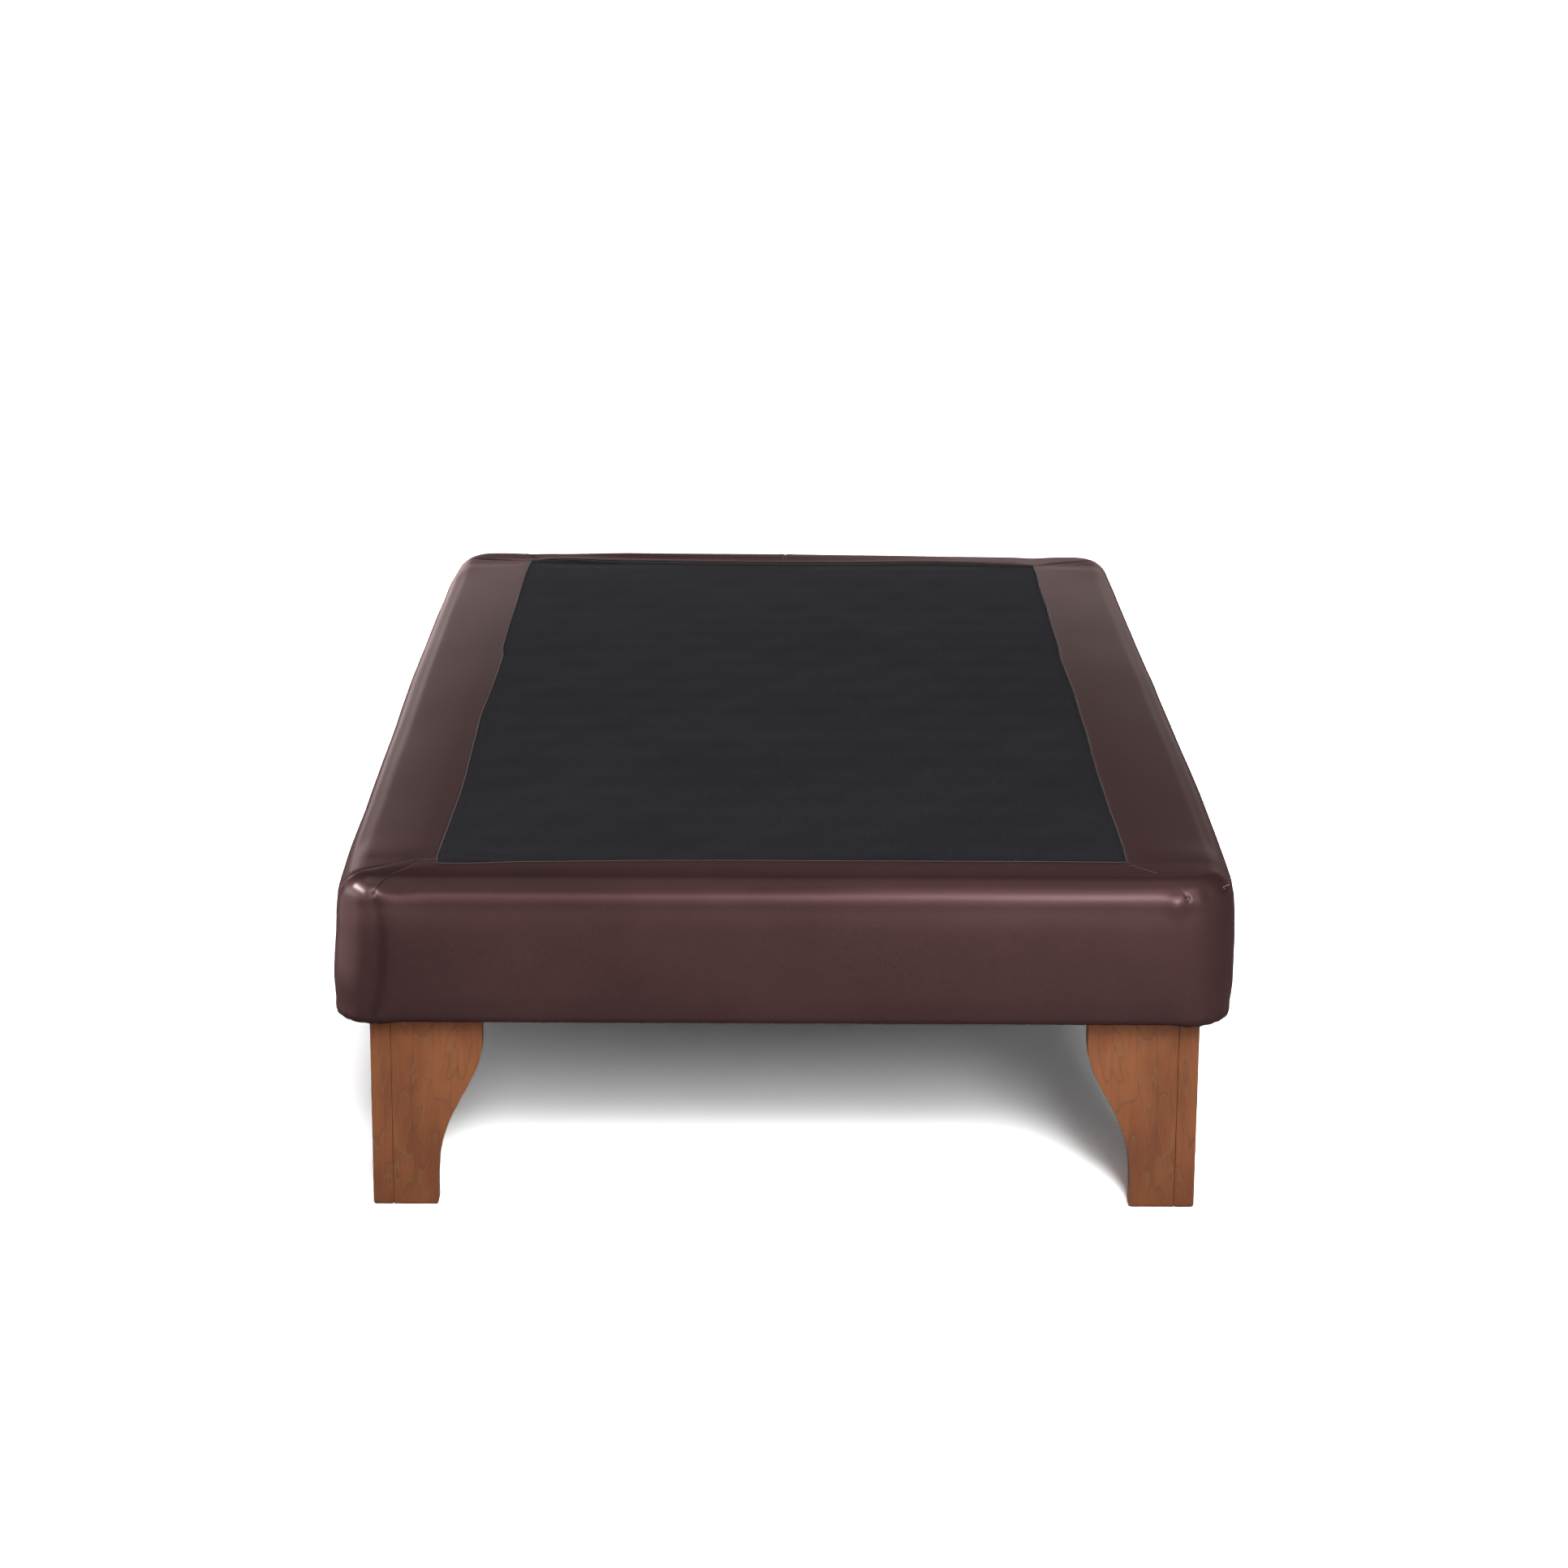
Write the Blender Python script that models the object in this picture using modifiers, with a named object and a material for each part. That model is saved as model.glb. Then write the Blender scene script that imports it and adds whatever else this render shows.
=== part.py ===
"""An upholstered bed base, one and a half places wide, on four bracket legs.

Metres, +Z up. The origin is on the floor under the middle of the base. +X is to the right
as seen from the foot end, and +Y points to the head end.
"""

import math
from collections import namedtuple

import bmesh
import bpy
from mathutils import Matrix, Vector

# Driving dimensions
WIDTH = 1.05
LENGTH = 1.90
HEIGHT = 0.41
LEG_HEIGHT = 0.235

# Clearances
GAP = 0.0003
CUT_OVERRUN = 0.002

# Cover: band, top panel and dust cover
COVER_THICK = 0.0012
CORNER_RADIUS = 0.062
TOP_ROLL_RADIUS = 0.032
BOTTOM_ROLL_RADIUS = 0.012
SIDE_CROWN = 0.004
HEM_WIDTH = 0.060
HEM_CORNER_RADIUS = 0.002
PANEL_SIDE_MARGIN = 0.122
PANEL_FOOT_MARGIN = 0.082
PANEL_HEAD_MARGIN = 0.098
PANEL_CORNER_RADIUS = 0.003
DUST_COVER_THICK = 0.0008
DUST_COVER_MARGIN = 0.022
ROLL_LIMIT_SHARE = 0.8

# Darts that draw the cover in beside each corner, on the foot and head faces
DART_DEPTH = 0.004
DART_SLACK = 0.0006
DART_FADE_SHARE = 0.4
DART_STEP_SHARES = (1.0, 0.4)
DART_CORNER_SHARES = {"foot_right": 0.4, "head_right": 0.3, "head_left": 0.3, "foot_left": 1.0}

# Foam
SIDE_FOAM_THICK = 0.013
TOP_FOAM_THICK = 0.015
FOAM_CORNER_REACH = 0.030

# Frame
RAIL_THICK = 0.020
CENTRE_RAIL_THICK = 0.025
CENTRE_RAIL_HEIGHT_SHARE = 0.525
POST_LAND = 0.002
SLAT_COUNT = 10
SLAT_WIDTH = 0.070
SLAT_THICK = 0.018
DECK_THICK = 0.0032
CORNER_BLOCK_SIDE = 0.120
CORNER_BLOCK_HEIGHT = 0.050

# Legs
LEG_INSET = 0.040
LEG_BOARD_THICK = 0.024
LEG_TOP_WIDTH = 0.131
LEG_FOOT_WIDTH = 0.077
OGEE_TOP_DROP = 0.031
OGEE_FOOT_RISE = 0.035
OGEE_HANDLE_SHARES = (0.325, 0.509)
LEG_FOOT_ROUND = 0.0045
LEG_ARRIS = 0.0012
LEG_BLOCK_SIDE = 0.058
LEG_BLOCK_HEIGHT = 0.055

# Leg fixings
BOLT_RADIUS = 0.004
BOLT_CLEARANCE = 0.0005
BOLT_HEAD_FLATS = 0.013
BOLT_HEAD_THICK = 0.0053
BOLT_END = 0.004
WASHER_RADIUS = 0.009
WASHER_THICK = 0.0016
TEE_NUT_FLANGE_RADIUS = 0.011
TEE_NUT_FLANGE_THICK = 0.0015
TEE_NUT_WALL = 0.0012
TEE_NUT_BARREL = 0.010
DOWEL_RADIUS = 0.004
DOWEL_DEPTH = 0.014
DOWEL_OFFSET = 0.016

# Counts and angles
CORNER_STEPS = 7
TOP_ROLL_STEPS = 5
CROWN_STEPS = 4
BOTTOM_ROLL_STEPS = 3
OGEE_STEPS = 10
FOOT_ROUND_STEPS = 2
ROUND_STEPS = 16
HEX_SIDES = 6
QUARTER = math.pi / 2
SHARP_ANGLE = math.radians(40)

# Heights, from the legs up and from the top down
UNDER_Z = LEG_HEIGHT + GAP + DUST_COVER_THICK + GAP
FRAME_Z = UNDER_Z + COVER_THICK + GAP
COVER_INSIDE = COVER_THICK + GAP
FOAM_TOP_Z = HEIGHT - COVER_INSIDE
FOAM_SHEET_Z = FOAM_TOP_Z - TOP_FOAM_THICK
DECK_TOP_Z = FOAM_SHEET_Z - GAP
DECK_Z = DECK_TOP_Z - DECK_THICK
SLAT_TOP_Z = DECK_Z - GAP
SLAT_Z = SLAT_TOP_Z - SLAT_THICK
RAIL_TOP_Z = SLAT_Z - GAP

# Frame plan: half sizes over the rails, and the square posts with one round corner
FRAME_INSET = SIDE_CROWN + COVER_INSIDE + SIDE_FOAM_THICK + GAP
FRAME_X = WIDTH / 2 - FRAME_INSET
FRAME_Y = LENGTH / 2 - FRAME_INSET
FRAME_RADIUS = CORNER_RADIUS - FRAME_INSET
POST_SIDE = max(FRAME_RADIUS, RAIL_THICK) + POST_LAND
RAIL_END_X = FRAME_X - POST_SIDE - GAP
RAIL_END_Y = FRAME_Y - POST_SIDE - GAP

# Leg plan: how far the bolt's axis is from the cover's widest line, both ways
BOLT_INSET = LEG_INSET + LEG_BOARD_THICK + GAP + LEG_BLOCK_SIDE / 2
BOLT_X = WIDTH / 2 - BOLT_INSET
BOLT_Y = LENGTH / 2 - BOLT_INSET
BOLT_HOLE_RADIUS = BOLT_RADIUS + BOLT_CLEARANCE
TEE_NUT_BORE = BOLT_RADIUS + GAP
TEE_NUT_BARREL_RADIUS = TEE_NUT_BORE + TEE_NUT_WALL
CORNER_BLOCK_TOP_Z = FRAME_Z + CORNER_BLOCK_HEIGHT
LEG_BLOCK_Z = LEG_HEIGHT - LEG_BLOCK_HEIGHT

# Corners anticlockwise from above, as signs of X and Y
CORNERS = {
    "foot_right": (1, -1),
    "head_right": (1, 1),
    "head_left": (-1, 1),
    "foot_left": (-1, -1),
}

RingPoint = namedtuple("RingPoint", "side_x side_y angle shift dart")
ProfilePoint = namedtuple("ProfilePoint", "inset height dart")


# Scene, materials and objects


def clear_scene():
    for obj in list(bpy.data.objects):
        bpy.data.objects.remove(obj, do_unlink=True)


def new_collection(name):
    collection = bpy.data.collections.new(name)
    bpy.context.scene.collection.children.link(collection)
    return collection


def new_material(name, colour, roughness, metallic=0.0):
    material = bpy.data.materials.new(name)
    material.use_nodes = True
    shader = material.node_tree.nodes["Principled BSDF"]
    shader.inputs["Base Color"].default_value = (*colour, 1.0)
    shader.inputs["Roughness"].default_value = roughness
    shader.inputs["Metallic"].default_value = metallic
    material.diffuse_color = (*colour, 1.0)
    return material


def add_object(name, data, collection, location=(0, 0, 0), rotation=(0, 0, 0)):
    obj = bpy.data.objects.new(name, data)
    obj.location = location
    obj.rotation_euler = rotation
    collection.objects.link(obj)
    return obj


def mesh_from(bm, name, material=None):
    mesh = bpy.data.meshes.new(name)
    bm.to_mesh(mesh)
    bm.free()
    if material:
        mesh.materials.append(material)
    return mesh


def shade_round(mesh):
    mesh.shade_smooth()
    mesh.set_sharp_from_angle(angle=SHARP_ANGLE)


# Basic shapes


def box(name, low, high, material):
    """A box between two corners, in world coordinates."""
    low, high = Vector(low), Vector(high)
    bm = bmesh.new()
    bmesh.ops.create_cube(bm, size=1, matrix=Matrix.Diagonal((*(high - low), 1)))
    return add_object(name, mesh_from(bm, name, material), PARTS, location=(low + high) / 2)


def cylinder_mesh(name, radius, depth, material=None, sides=ROUND_STEPS):
    """A cylinder along Z that stands on its origin."""
    bm = bmesh.new()
    bmesh.ops.create_cone(
        bm, cap_ends=True, segments=sides, radius1=radius, radius2=radius, depth=depth
    )
    bmesh.ops.translate(bm, verts=bm.verts, vec=(0, 0, depth / 2))
    mesh = mesh_from(bm, name, material)
    shade_round(mesh)
    return mesh


def cutter(name, radius, low, high, x, y):
    """A round cutter along Z between two heights."""
    mesh = cylinder_mesh(name, radius, high - low)
    obj = add_object(name, mesh, CUTTERS, location=(x, y, low))
    obj.hide_render = True
    obj.display_type = "WIRE"
    return obj


def boolean(obj, other, operation="DIFFERENCE"):
    modifier = obj.modifiers.new(other.name, "BOOLEAN")
    modifier.operation = operation
    modifier.object = other


def outline_curve(name, outlines, thickness, material):
    """Flat outlines in XY, holes after the outer one, as a plate centred on its origin."""
    curve = bpy.data.curves.new(name, "CURVE")
    curve.dimensions = "2D"
    curve.fill_mode = "BOTH"
    curve.extrude = thickness / 2
    curve.materials.append(material)
    for outline in outlines:
        spline = curve.splines.new("POLY")
        spline.points.add(len(outline) - 1)
        for point, place in zip(spline.points, outline):
            point.co = (place[0], place[1], 0, 1)
        spline.use_cyclic_u = True
    return curve


def plate(name, outlines, low_z, high_z, material):
    """A flat piece that lies between two heights."""
    curve = outline_curve(name, outlines, high_z - low_z, material)
    return add_object(name, curve, PARTS, location=(0, 0, (low_z + high_z) / 2))


def curve_as_mesh(curve_object):
    """The curve's plate as a welded mesh with whole faces, in place of the curve object."""
    graph = bpy.context.evaluated_depsgraph_get()
    mesh = bpy.data.meshes.new_from_object(curve_object.evaluated_get(graph))
    name, matrix = curve_object.name, curve_object.matrix_world.copy()
    curve = curve_object.data
    bpy.data.objects.remove(curve_object, do_unlink=True)
    bpy.data.curves.remove(curve)
    bm = bmesh.new()
    bm.from_mesh(mesh)
    bmesh.ops.remove_doubles(bm, verts=bm.verts, dist=GAP / 10)
    flat_edges = {"angle_limit": math.radians(1), "verts": bm.verts, "edges": bm.edges}
    bmesh.ops.dissolve_limit(bm, **flat_edges)
    bm.to_mesh(mesh)
    bm.free()
    mesh.name = name
    obj = add_object(name, mesh, PARTS)
    obj.matrix_world = matrix
    return obj


def loft(name, sections, material, closed, along=False):
    """A skin through sections that have as many points each, with both ends capped if closed.

    Each section runs anticlockwise as seen from before the first one, so the skin faces out.
    The cover is lofted down its levels and a foam strip along the ring, so the strip's
    facets are split the other way to lie along the cover's.
    """
    bm = bmesh.new()
    rows = [[bm.verts.new(point) for point in section] for section in sections]
    count = len(rows[0])
    for upper, lower in zip(rows, rows[1:]):
        for i in range(count):
            after = (i + 1) % count
            facet = [upper[i], lower[i], lower[after], upper[after]]
            if along:
                facet = facet[1:] + facet[:1]
            bm.faces.new(facet[:3])
            bm.faces.new((facet[2], facet[3], facet[0]))
    if closed:
        bm.faces.new(rows[0])
        bm.faces.new(reversed(rows[-1]))
    mesh = mesh_from(bm, name, material)
    shade_round(mesh)
    return add_object(name, mesh, PARTS)


def turned(name, profile, material):
    """A closed profile in XZ turned about Z."""
    bm = bmesh.new()
    points = [bm.verts.new((radius, 0, height)) for radius, height in profile]
    for i, point in enumerate(points):
        bm.edges.new((point, points[(i + 1) % len(points)]))
    obj = add_object(name, mesh_from(bm, name, material), PARTS)
    screw = obj.modifiers.new("Turn", "SCREW")
    screw.axis = "Z"
    screw.steps = ROUND_STEPS
    screw.render_steps = ROUND_STEPS
    screw.use_smooth_shade = True
    return obj


def arc(centre, radius, start, steps=CORNER_STEPS):
    """Points of a quarter circle, anticlockwise from a start angle."""
    angles = [start + QUARTER * k / steps for k in range(steps + 1)]
    return [(centre[0] + radius * math.cos(a), centre[1] + radius * math.sin(a)) for a in angles]


def circle(centre, radius):
    angles = [math.tau * k / ROUND_STEPS for k in range(ROUND_STEPS)]
    return [(centre[0] + radius * math.cos(a), centre[1] + radius * math.sin(a)) for a in angles]


def rounded_rectangle(half_width, foot, head, radius):
    """A rectangle from y = -foot to y = head with round corners, anticlockwise."""
    points = []
    for quarter, (side_x, side_y) in enumerate(CORNERS.values()):
        reach = head if side_y > 0 else foot
        centre = (side_x * (half_width - radius), side_y * (reach - radius))
        points += arc(centre, radius, QUARTER * (quarter - 1))
    return points


# The cover's form, which the band and the foam share


def dart_share(corner, steps_from_end_face):
    if steps_from_end_face < len(DART_STEP_SHARES):
        return DART_CORNER_SHARES[corner] * DART_STEP_SHARES[steps_from_end_face]
    return 0.0


def cover_ring():
    """Points round the cover, anticlockwise: each corner's arc with a point before and after."""
    ring = []
    for quarter, (corner, (side_x, side_y)) in enumerate(CORNERS.items()):
        start = QUARTER * (quarter - 1)
        end_face_first = side_x * side_y < 0
        ring.append(RingPoint(side_x, side_y, start, -FOAM_CORNER_REACH, 0.0))
        for step in range(CORNER_STEPS + 1):
            steps_away = step if end_face_first else CORNER_STEPS - step
            angle = start + QUARTER * step / CORNER_STEPS
            share = dart_share(corner, steps_away)
            ring.append(RingPoint(side_x, side_y, angle, 0.0, share))
        ring.append(RingPoint(side_x, side_y, start + QUARTER, FOAM_CORNER_REACH, 0.0))
    return ring


def place_on_ring(point, half_width, half_length, radius, height):
    """A ring point's place on a rounded rectangle of this size."""
    centre_x = point.side_x * (half_width - radius)
    centre_y = point.side_y * (half_length - radius)
    cosine, sine = math.cos(point.angle), math.sin(point.angle)
    x = centre_x + radius * cosine - point.shift * sine
    y = centre_y + radius * sine + point.shift * cosine
    return Vector((x, y, height))


def inset_point(point, inset, height):
    """A ring point's place this far inside the cover's widest line."""
    radius = CORNER_RADIUS - inset
    return place_on_ring(point, WIDTH / 2 - inset, LENGTH / 2 - inset, radius, height)


def outer_profile():
    """(inset, height) down the cover's outer face: top roll, crowned side, bottom roll."""
    top_roll = min(TOP_ROLL_RADIUS, ROLL_LIMIT_SHARE * (CORNER_RADIUS - SIDE_CROWN))
    bottom_roll = min(BOTTOM_ROLL_RADIUS, SIDE_FOAM_THICK)
    points = []
    for step in range(TOP_ROLL_STEPS + 1):
        angle = QUARTER * step / TOP_ROLL_STEPS
        inset = SIDE_CROWN + top_roll * (1 - math.sin(angle))
        points.append((inset, HEIGHT - top_roll * (1 - math.cos(angle))))
    side_top = HEIGHT - top_roll
    side_drop = side_top - UNDER_Z - bottom_roll
    for step in range(1, CROWN_STEPS):
        share = step / CROWN_STEPS
        inset = SIDE_CROWN * (1 - 2 * share) ** 2
        points.append((inset, side_top - share * side_drop))
    for step in range(BOTTOM_ROLL_STEPS + 1):
        angle = QUARTER * step / BOTTOM_ROLL_STEPS
        inset = SIDE_CROWN + bottom_roll * (1 - math.cos(angle))
        points.append((inset, UNDER_Z + bottom_roll * (1 - math.sin(angle))))
    return points


def corner_normals(points):
    """At each point, the step that moves both lines beside it inwards by one."""
    first, last = points[0], points[-1]
    ends = [(first[0] + TOP_ROLL_RADIUS, first[1])] + points + [(last[0] + HEM_WIDTH, last[1])]
    normals = []
    for before, here, after in zip(ends, ends[1:], ends[2:]):
        into = math.atan2(here[0] - before[0], before[1] - here[1])
        out = math.atan2(after[0] - here[0], here[1] - after[1])
        middle, stretch = (into + out) / 2, math.cos((out - into) / 2)
        normals.append((math.cos(middle) / stretch, math.sin(middle) / stretch))
    return normals


def cover_profile(inward):
    """The outer profile moved inwards, with how far a dart draws in each height.

    The foam is drawn in a little further than the cover, which stands off it there.
    """
    points = outer_profile()
    depth = DART_DEPTH + (DART_SLACK if inward else 0.0)
    profile = []
    for (inset, height), normal in zip(points, corner_normals(points)):
        down_share = (HEIGHT - height) / (HEIGHT - UNDER_Z)
        dart = depth * math.sin(math.pi * down_share**DART_FADE_SHARE)
        moved = (inset + inward * normal[0], height + inward * normal[1])
        profile.append(ProfilePoint(*moved, dart))
    return profile


def point_at_height(profile, height):
    for upper, lower in zip(profile, profile[1:]):
        if upper.height >= height > lower.height:
            share = (upper.height - height) / (upper.height - lower.height)
            return ProfilePoint(*[a + share * (b - a) for a, b in zip(upper, lower)])


def profile_above(profile, height):
    kept = [point for point in profile if point.height > height]
    return [*kept, point_at_height(profile, height)]


def profile_below(profile, height):
    kept = [point for point in profile if point.height < height]
    return [point_at_height(profile, height), *kept]


def cover_point(ring_point, profile_point):
    inset = profile_point.inset + ring_point.dart * profile_point.dart
    return inset_point(ring_point, inset, profile_point.height)


# Cover


def make_cover_band():
    """The sewn leatherette skirt: top margin, rolled edge, side and turned hem in one sheet."""
    ring = cover_ring()
    reach = {-1: LENGTH / 2 - PANEL_FOOT_MARGIN, 1: LENGTH / 2 - PANEL_HEAD_MARGIN}
    seam_x = WIDTH / 2 - PANEL_SIDE_MARGIN + GAP
    seam_radius = PANEL_CORNER_RADIUS + GAP
    rows = [
        [place_on_ring(p, seam_x, reach[p.side_y] + GAP, seam_radius, HEIGHT) for p in ring]
    ]
    for level in cover_profile(0.0):
        rows.append([cover_point(p, level) for p in ring])
    hem_x, hem_y = WIDTH / 2 - HEM_WIDTH, LENGTH / 2 - HEM_WIDTH
    rows.append([place_on_ring(p, hem_x, hem_y, HEM_CORNER_RADIUS, UNDER_Z) for p in ring])
    band = loft("cover_band", rows, LEATHERETTE, closed=False)
    solidify = band.modifiers.new("Thickness", "SOLIDIFY")
    solidify.thickness = COVER_THICK
    solidify.offset = -1
    solidify.use_even_offset = True


def make_top_panel():
    foot, head = LENGTH / 2 - PANEL_FOOT_MARGIN, LENGTH / 2 - PANEL_HEAD_MARGIN
    half_width = WIDTH / 2 - PANEL_SIDE_MARGIN
    outline = rounded_rectangle(half_width, foot, head, PANEL_CORNER_RADIUS)
    plate("cover_top_panel", [outline], HEIGHT - COVER_THICK, HEIGHT, BLACK_CLOTH)


def make_dust_cover():
    """The black cloth under the frame, with holes for the leg bolts and dowels."""
    half_width, half_length = WIDTH / 2 - DUST_COVER_MARGIN, LENGTH / 2 - DUST_COVER_MARGIN
    radius = CORNER_RADIUS - DUST_COVER_MARGIN
    outlines = [rounded_rectangle(half_width, half_length, half_length, radius)]
    for side_x, side_y in CORNERS.values():
        outlines.append(circle((side_x * BOLT_X, side_y * BOLT_Y), BOLT_HOLE_RADIUS))
        outlines.append(circle(dowel_place(side_x, side_y), DOWEL_RADIUS + GAP))
    low = LEG_HEIGHT + GAP
    plate("dust_cover", outlines, low, low + DUST_COVER_THICK, DUST_CLOTH)


# Foam


def make_foam_sheet():
    """The sheet over the deck, which carries the upper part of the rolled edge."""
    profile = profile_above(cover_profile(COVER_INSIDE), FOAM_SHEET_Z)
    rows = [[cover_point(p, level) for p in cover_ring()] for level in profile]
    loft("foam_top_sheet", rows, FOAM, closed=True)


def foam_section(ring_point):
    """The foam strip's outline at one place round the frame."""
    profile = profile_below(cover_profile(COVER_INSIDE), DECK_TOP_Z)
    inner = FRAME_INSET - GAP
    section = [cover_point(ring_point, level) for level in profile]
    section.append(inset_point(ring_point, inner, FRAME_Z))
    section.append(inset_point(ring_point, inner, DECK_TOP_Z))
    return section


def make_foam_strips():
    """Foot and head strips wrap the corners, and the side strips lie between their ends."""
    ring = cover_ring()
    corner_points = CORNER_STEPS + 3
    half = 2 * corner_points
    foot_ring = ring[-corner_points:] + ring[:corner_points]
    head_ring = ring[corner_points : corner_points + half]
    for name, run in (("foot", foot_ring), ("head", head_ring)):
        sections = [foam_section(point) for point in reversed(run)]
        loft(f"foam_{name}_strip", sections, FOAM, closed=True, along=True)
    ends = {"right": (head_ring[0], foot_ring[-1]), "left": (foot_ring[0], head_ring[-1])}
    for name, run in ends.items():
        sections = [foam_section(point) for point in run]
        for section, side_y in zip(sections, [point.side_y for point in run]):
            for corner in section:
                corner.y -= side_y * GAP
        loft(f"foam_{name}_strip", sections, FOAM, closed=True, along=True)


# Frame


def make_rails():
    inner_x, inner_y = FRAME_X - RAIL_THICK, FRAME_Y - RAIL_THICK
    for name, side in (("left", -1), ("right", 1)):
        xs = sorted((side * FRAME_X, side * inner_x))
        low, high = (xs[0], -RAIL_END_Y, FRAME_Z), (xs[1], RAIL_END_Y, RAIL_TOP_Z)
        box(f"side_rail_{name}", low, high, PINE)
    for name, side in (("foot", -1), ("head", 1)):
        ys = sorted((side * FRAME_Y, side * inner_y))
        low, high = (-RAIL_END_X, ys[0], FRAME_Z), (RAIL_END_X, ys[1], SLAT_TOP_Z)
        box(f"end_rail_{name}", low, high, PINE)
    half, end = CENTRE_RAIL_THICK / 2, inner_y - GAP
    centre_height = CENTRE_RAIL_HEIGHT_SHARE * (RAIL_TOP_Z - FRAME_Z)
    low, high = (-half, -end, RAIL_TOP_Z - centre_height), (half, end, RAIL_TOP_Z)
    box("centre_rail", low, high, PINE)


def make_slats():
    """Slats from rail to rail, the first and last of them against the corner posts."""
    first = -RAIL_END_Y + SLAT_WIDTH / 2
    pitch = -2 * first / (SLAT_COUNT - 1)
    for number in range(SLAT_COUNT):
        middle = first + number * pitch
        low = (-FRAME_X, middle - SLAT_WIDTH / 2, SLAT_Z)
        high = (FRAME_X, middle + SLAT_WIDTH / 2, SLAT_TOP_Z)
        box(f"slat_{number + 1:02d}", low, high, PINE)


def make_deck():
    outline = rounded_rectangle(FRAME_X, FRAME_Y, FRAME_Y, FRAME_RADIUS)
    plate("hardboard_deck", [outline], DECK_Z, DECK_TOP_Z, HARDBOARD)


def turn_to(side_x, side_y):
    """The turn about Z that points a corner piece's +X +Y corner outwards at this corner."""
    return math.atan2(side_y, side_x) - QUARTER / 2


def make_corner_posts():
    centre = POST_SIDE - FRAME_RADIUS
    outline = [(0, 0), (POST_SIDE, 0), *arc((centre, centre), FRAME_RADIUS, 0.0), (0, POST_SIDE)]
    curve = outline_curve("corner_post", [outline], SLAT_TOP_Z - FRAME_Z, PINE)
    middle = (SLAT_TOP_Z + FRAME_Z) / 2
    for corner, (side_x, side_y) in CORNERS.items():
        place = (side_x * (FRAME_X - POST_SIDE), side_y * (FRAME_Y - POST_SIDE), middle)
        turn = (0, 0, turn_to(side_x, side_y))
        add_object(f"corner_post_{corner}", curve, PARTS, place, turn)


def make_corner_blocks():
    """Blocks between the rails, notched round the post and drilled for the leg's fixings."""
    outer = POST_SIDE - RAIL_THICK - GAP
    inner = outer - CORNER_BLOCK_SIDE
    outline = [(inner, inner), (outer, inner), (outer, -GAP), (-GAP, -GAP)]
    outline += [(-GAP, outer), (inner, outer)]
    low, high = FRAME_Z - CUT_OVERRUN, CORNER_BLOCK_TOP_Z + CUT_OVERRUN
    for corner, (side_x, side_y) in CORNERS.items():
        name = f"corner_block_{corner}"
        curve = outline_curve(name, [outline], CORNER_BLOCK_HEIGHT, PINE)
        place = (
            side_x * (FRAME_X - POST_SIDE),
            side_y * (FRAME_Y - POST_SIDE),
            (FRAME_Z + CORNER_BLOCK_TOP_Z) / 2,
        )
        rotation = (0, 0, turn_to(side_x, side_y))
        block = add_object(name, curve, PARTS, place, rotation)
        bpy.context.view_layer.update()
        block = curve_as_mesh(block)
        bolt_x, bolt_y = side_x * BOLT_X, side_y * BOLT_Y
        radius = TEE_NUT_BARREL_RADIUS + GAP
        boolean(block, cutter(f"cut_tee_nut_{corner}", radius, low, high, bolt_x, bolt_y))
        dowel_x, dowel_y = dowel_place(side_x, side_y)
        radius, top = DOWEL_RADIUS + GAP, FRAME_Z + DOWEL_DEPTH
        boolean(block, cutter(f"cut_dowel_top_{corner}", radius, low, top, dowel_x, dowel_y))


# Legs


def ogee_points():
    """The curved inner edge of a leg board, from the foot up to the wide top."""
    low, high = OGEE_FOOT_RISE, LEG_HEIGHT - OGEE_TOP_DROP
    upper_share, lower_share = OGEE_HANDLE_SHARES
    start = Vector((LEG_FOOT_WIDTH, low))
    end = Vector((LEG_TOP_WIDTH, high))
    lower_handle = start + Vector((0, lower_share * (high - low)))
    upper_handle = end - Vector((0, upper_share * (high - low)))
    points = []
    for step in range(OGEE_STEPS + 1):
        t = step / OGEE_STEPS
        point = (1 - t) ** 3 * start + 3 * t * (1 - t) ** 2 * lower_handle
        point += 3 * t**2 * (1 - t) * upper_handle + t**3 * end
        points.append((point.x, point.y))
    return points


def leg_board(name, start, place, heading):
    """A bracket board that stands on the floor and points along its heading.

    start is how far from the leg's outer face the board begins: zero for the side board,
    and past the side board for the end board, whose butt joint then stays sharp.
    """
    outline = [(start, 0), (LEG_FOOT_WIDTH, 0), *ogee_points()]
    outline += [(LEG_TOP_WIDTH, LEG_HEIGHT), (start, LEG_HEIGHT)]
    curve = outline_curve(name, [outline], LEG_BOARD_THICK, LEG_WOOD)
    board = add_object(name, curve, PARTS, place, (QUARTER, 0, heading))
    bpy.context.view_layer.update()
    board = curve_as_mesh(board)
    weigh_rounded_edges(board.data, start)
    bevel = board.modifiers.new("Rounded edges", "BEVEL")
    bevel.limit_method = "WEIGHT"
    bevel.width = LEG_FOOT_ROUND
    bevel.segments = FOOT_ROUND_STEPS
    return board


def weigh_rounded_edges(mesh, start):
    """Bevel weights: the foot is rounded most, the other long edges have a small arris."""
    bm = bmesh.new()
    bm.from_mesh(mesh)
    weights = bm.edges.layers.float.new("bevel_weight_edge")
    for edge in bm.edges:
        ends = [vert.co for vert in edge.verts]
        at_top = all(abs(end.y - LEG_HEIGHT) < GAP for end in ends)
        at_butt = start > 0 and all(abs(end.x - start) < GAP for end in ends)
        if at_top or at_butt or edge.calc_face_angle() < SHARP_ANGLE:
            continue
        at_foot = all(abs(end.y) < GAP for end in ends)
        edge[weights] = 1.0 if at_foot else LEG_ARRIS / LEG_FOOT_ROUND
    bm.to_mesh(mesh)
    bm.free()


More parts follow.
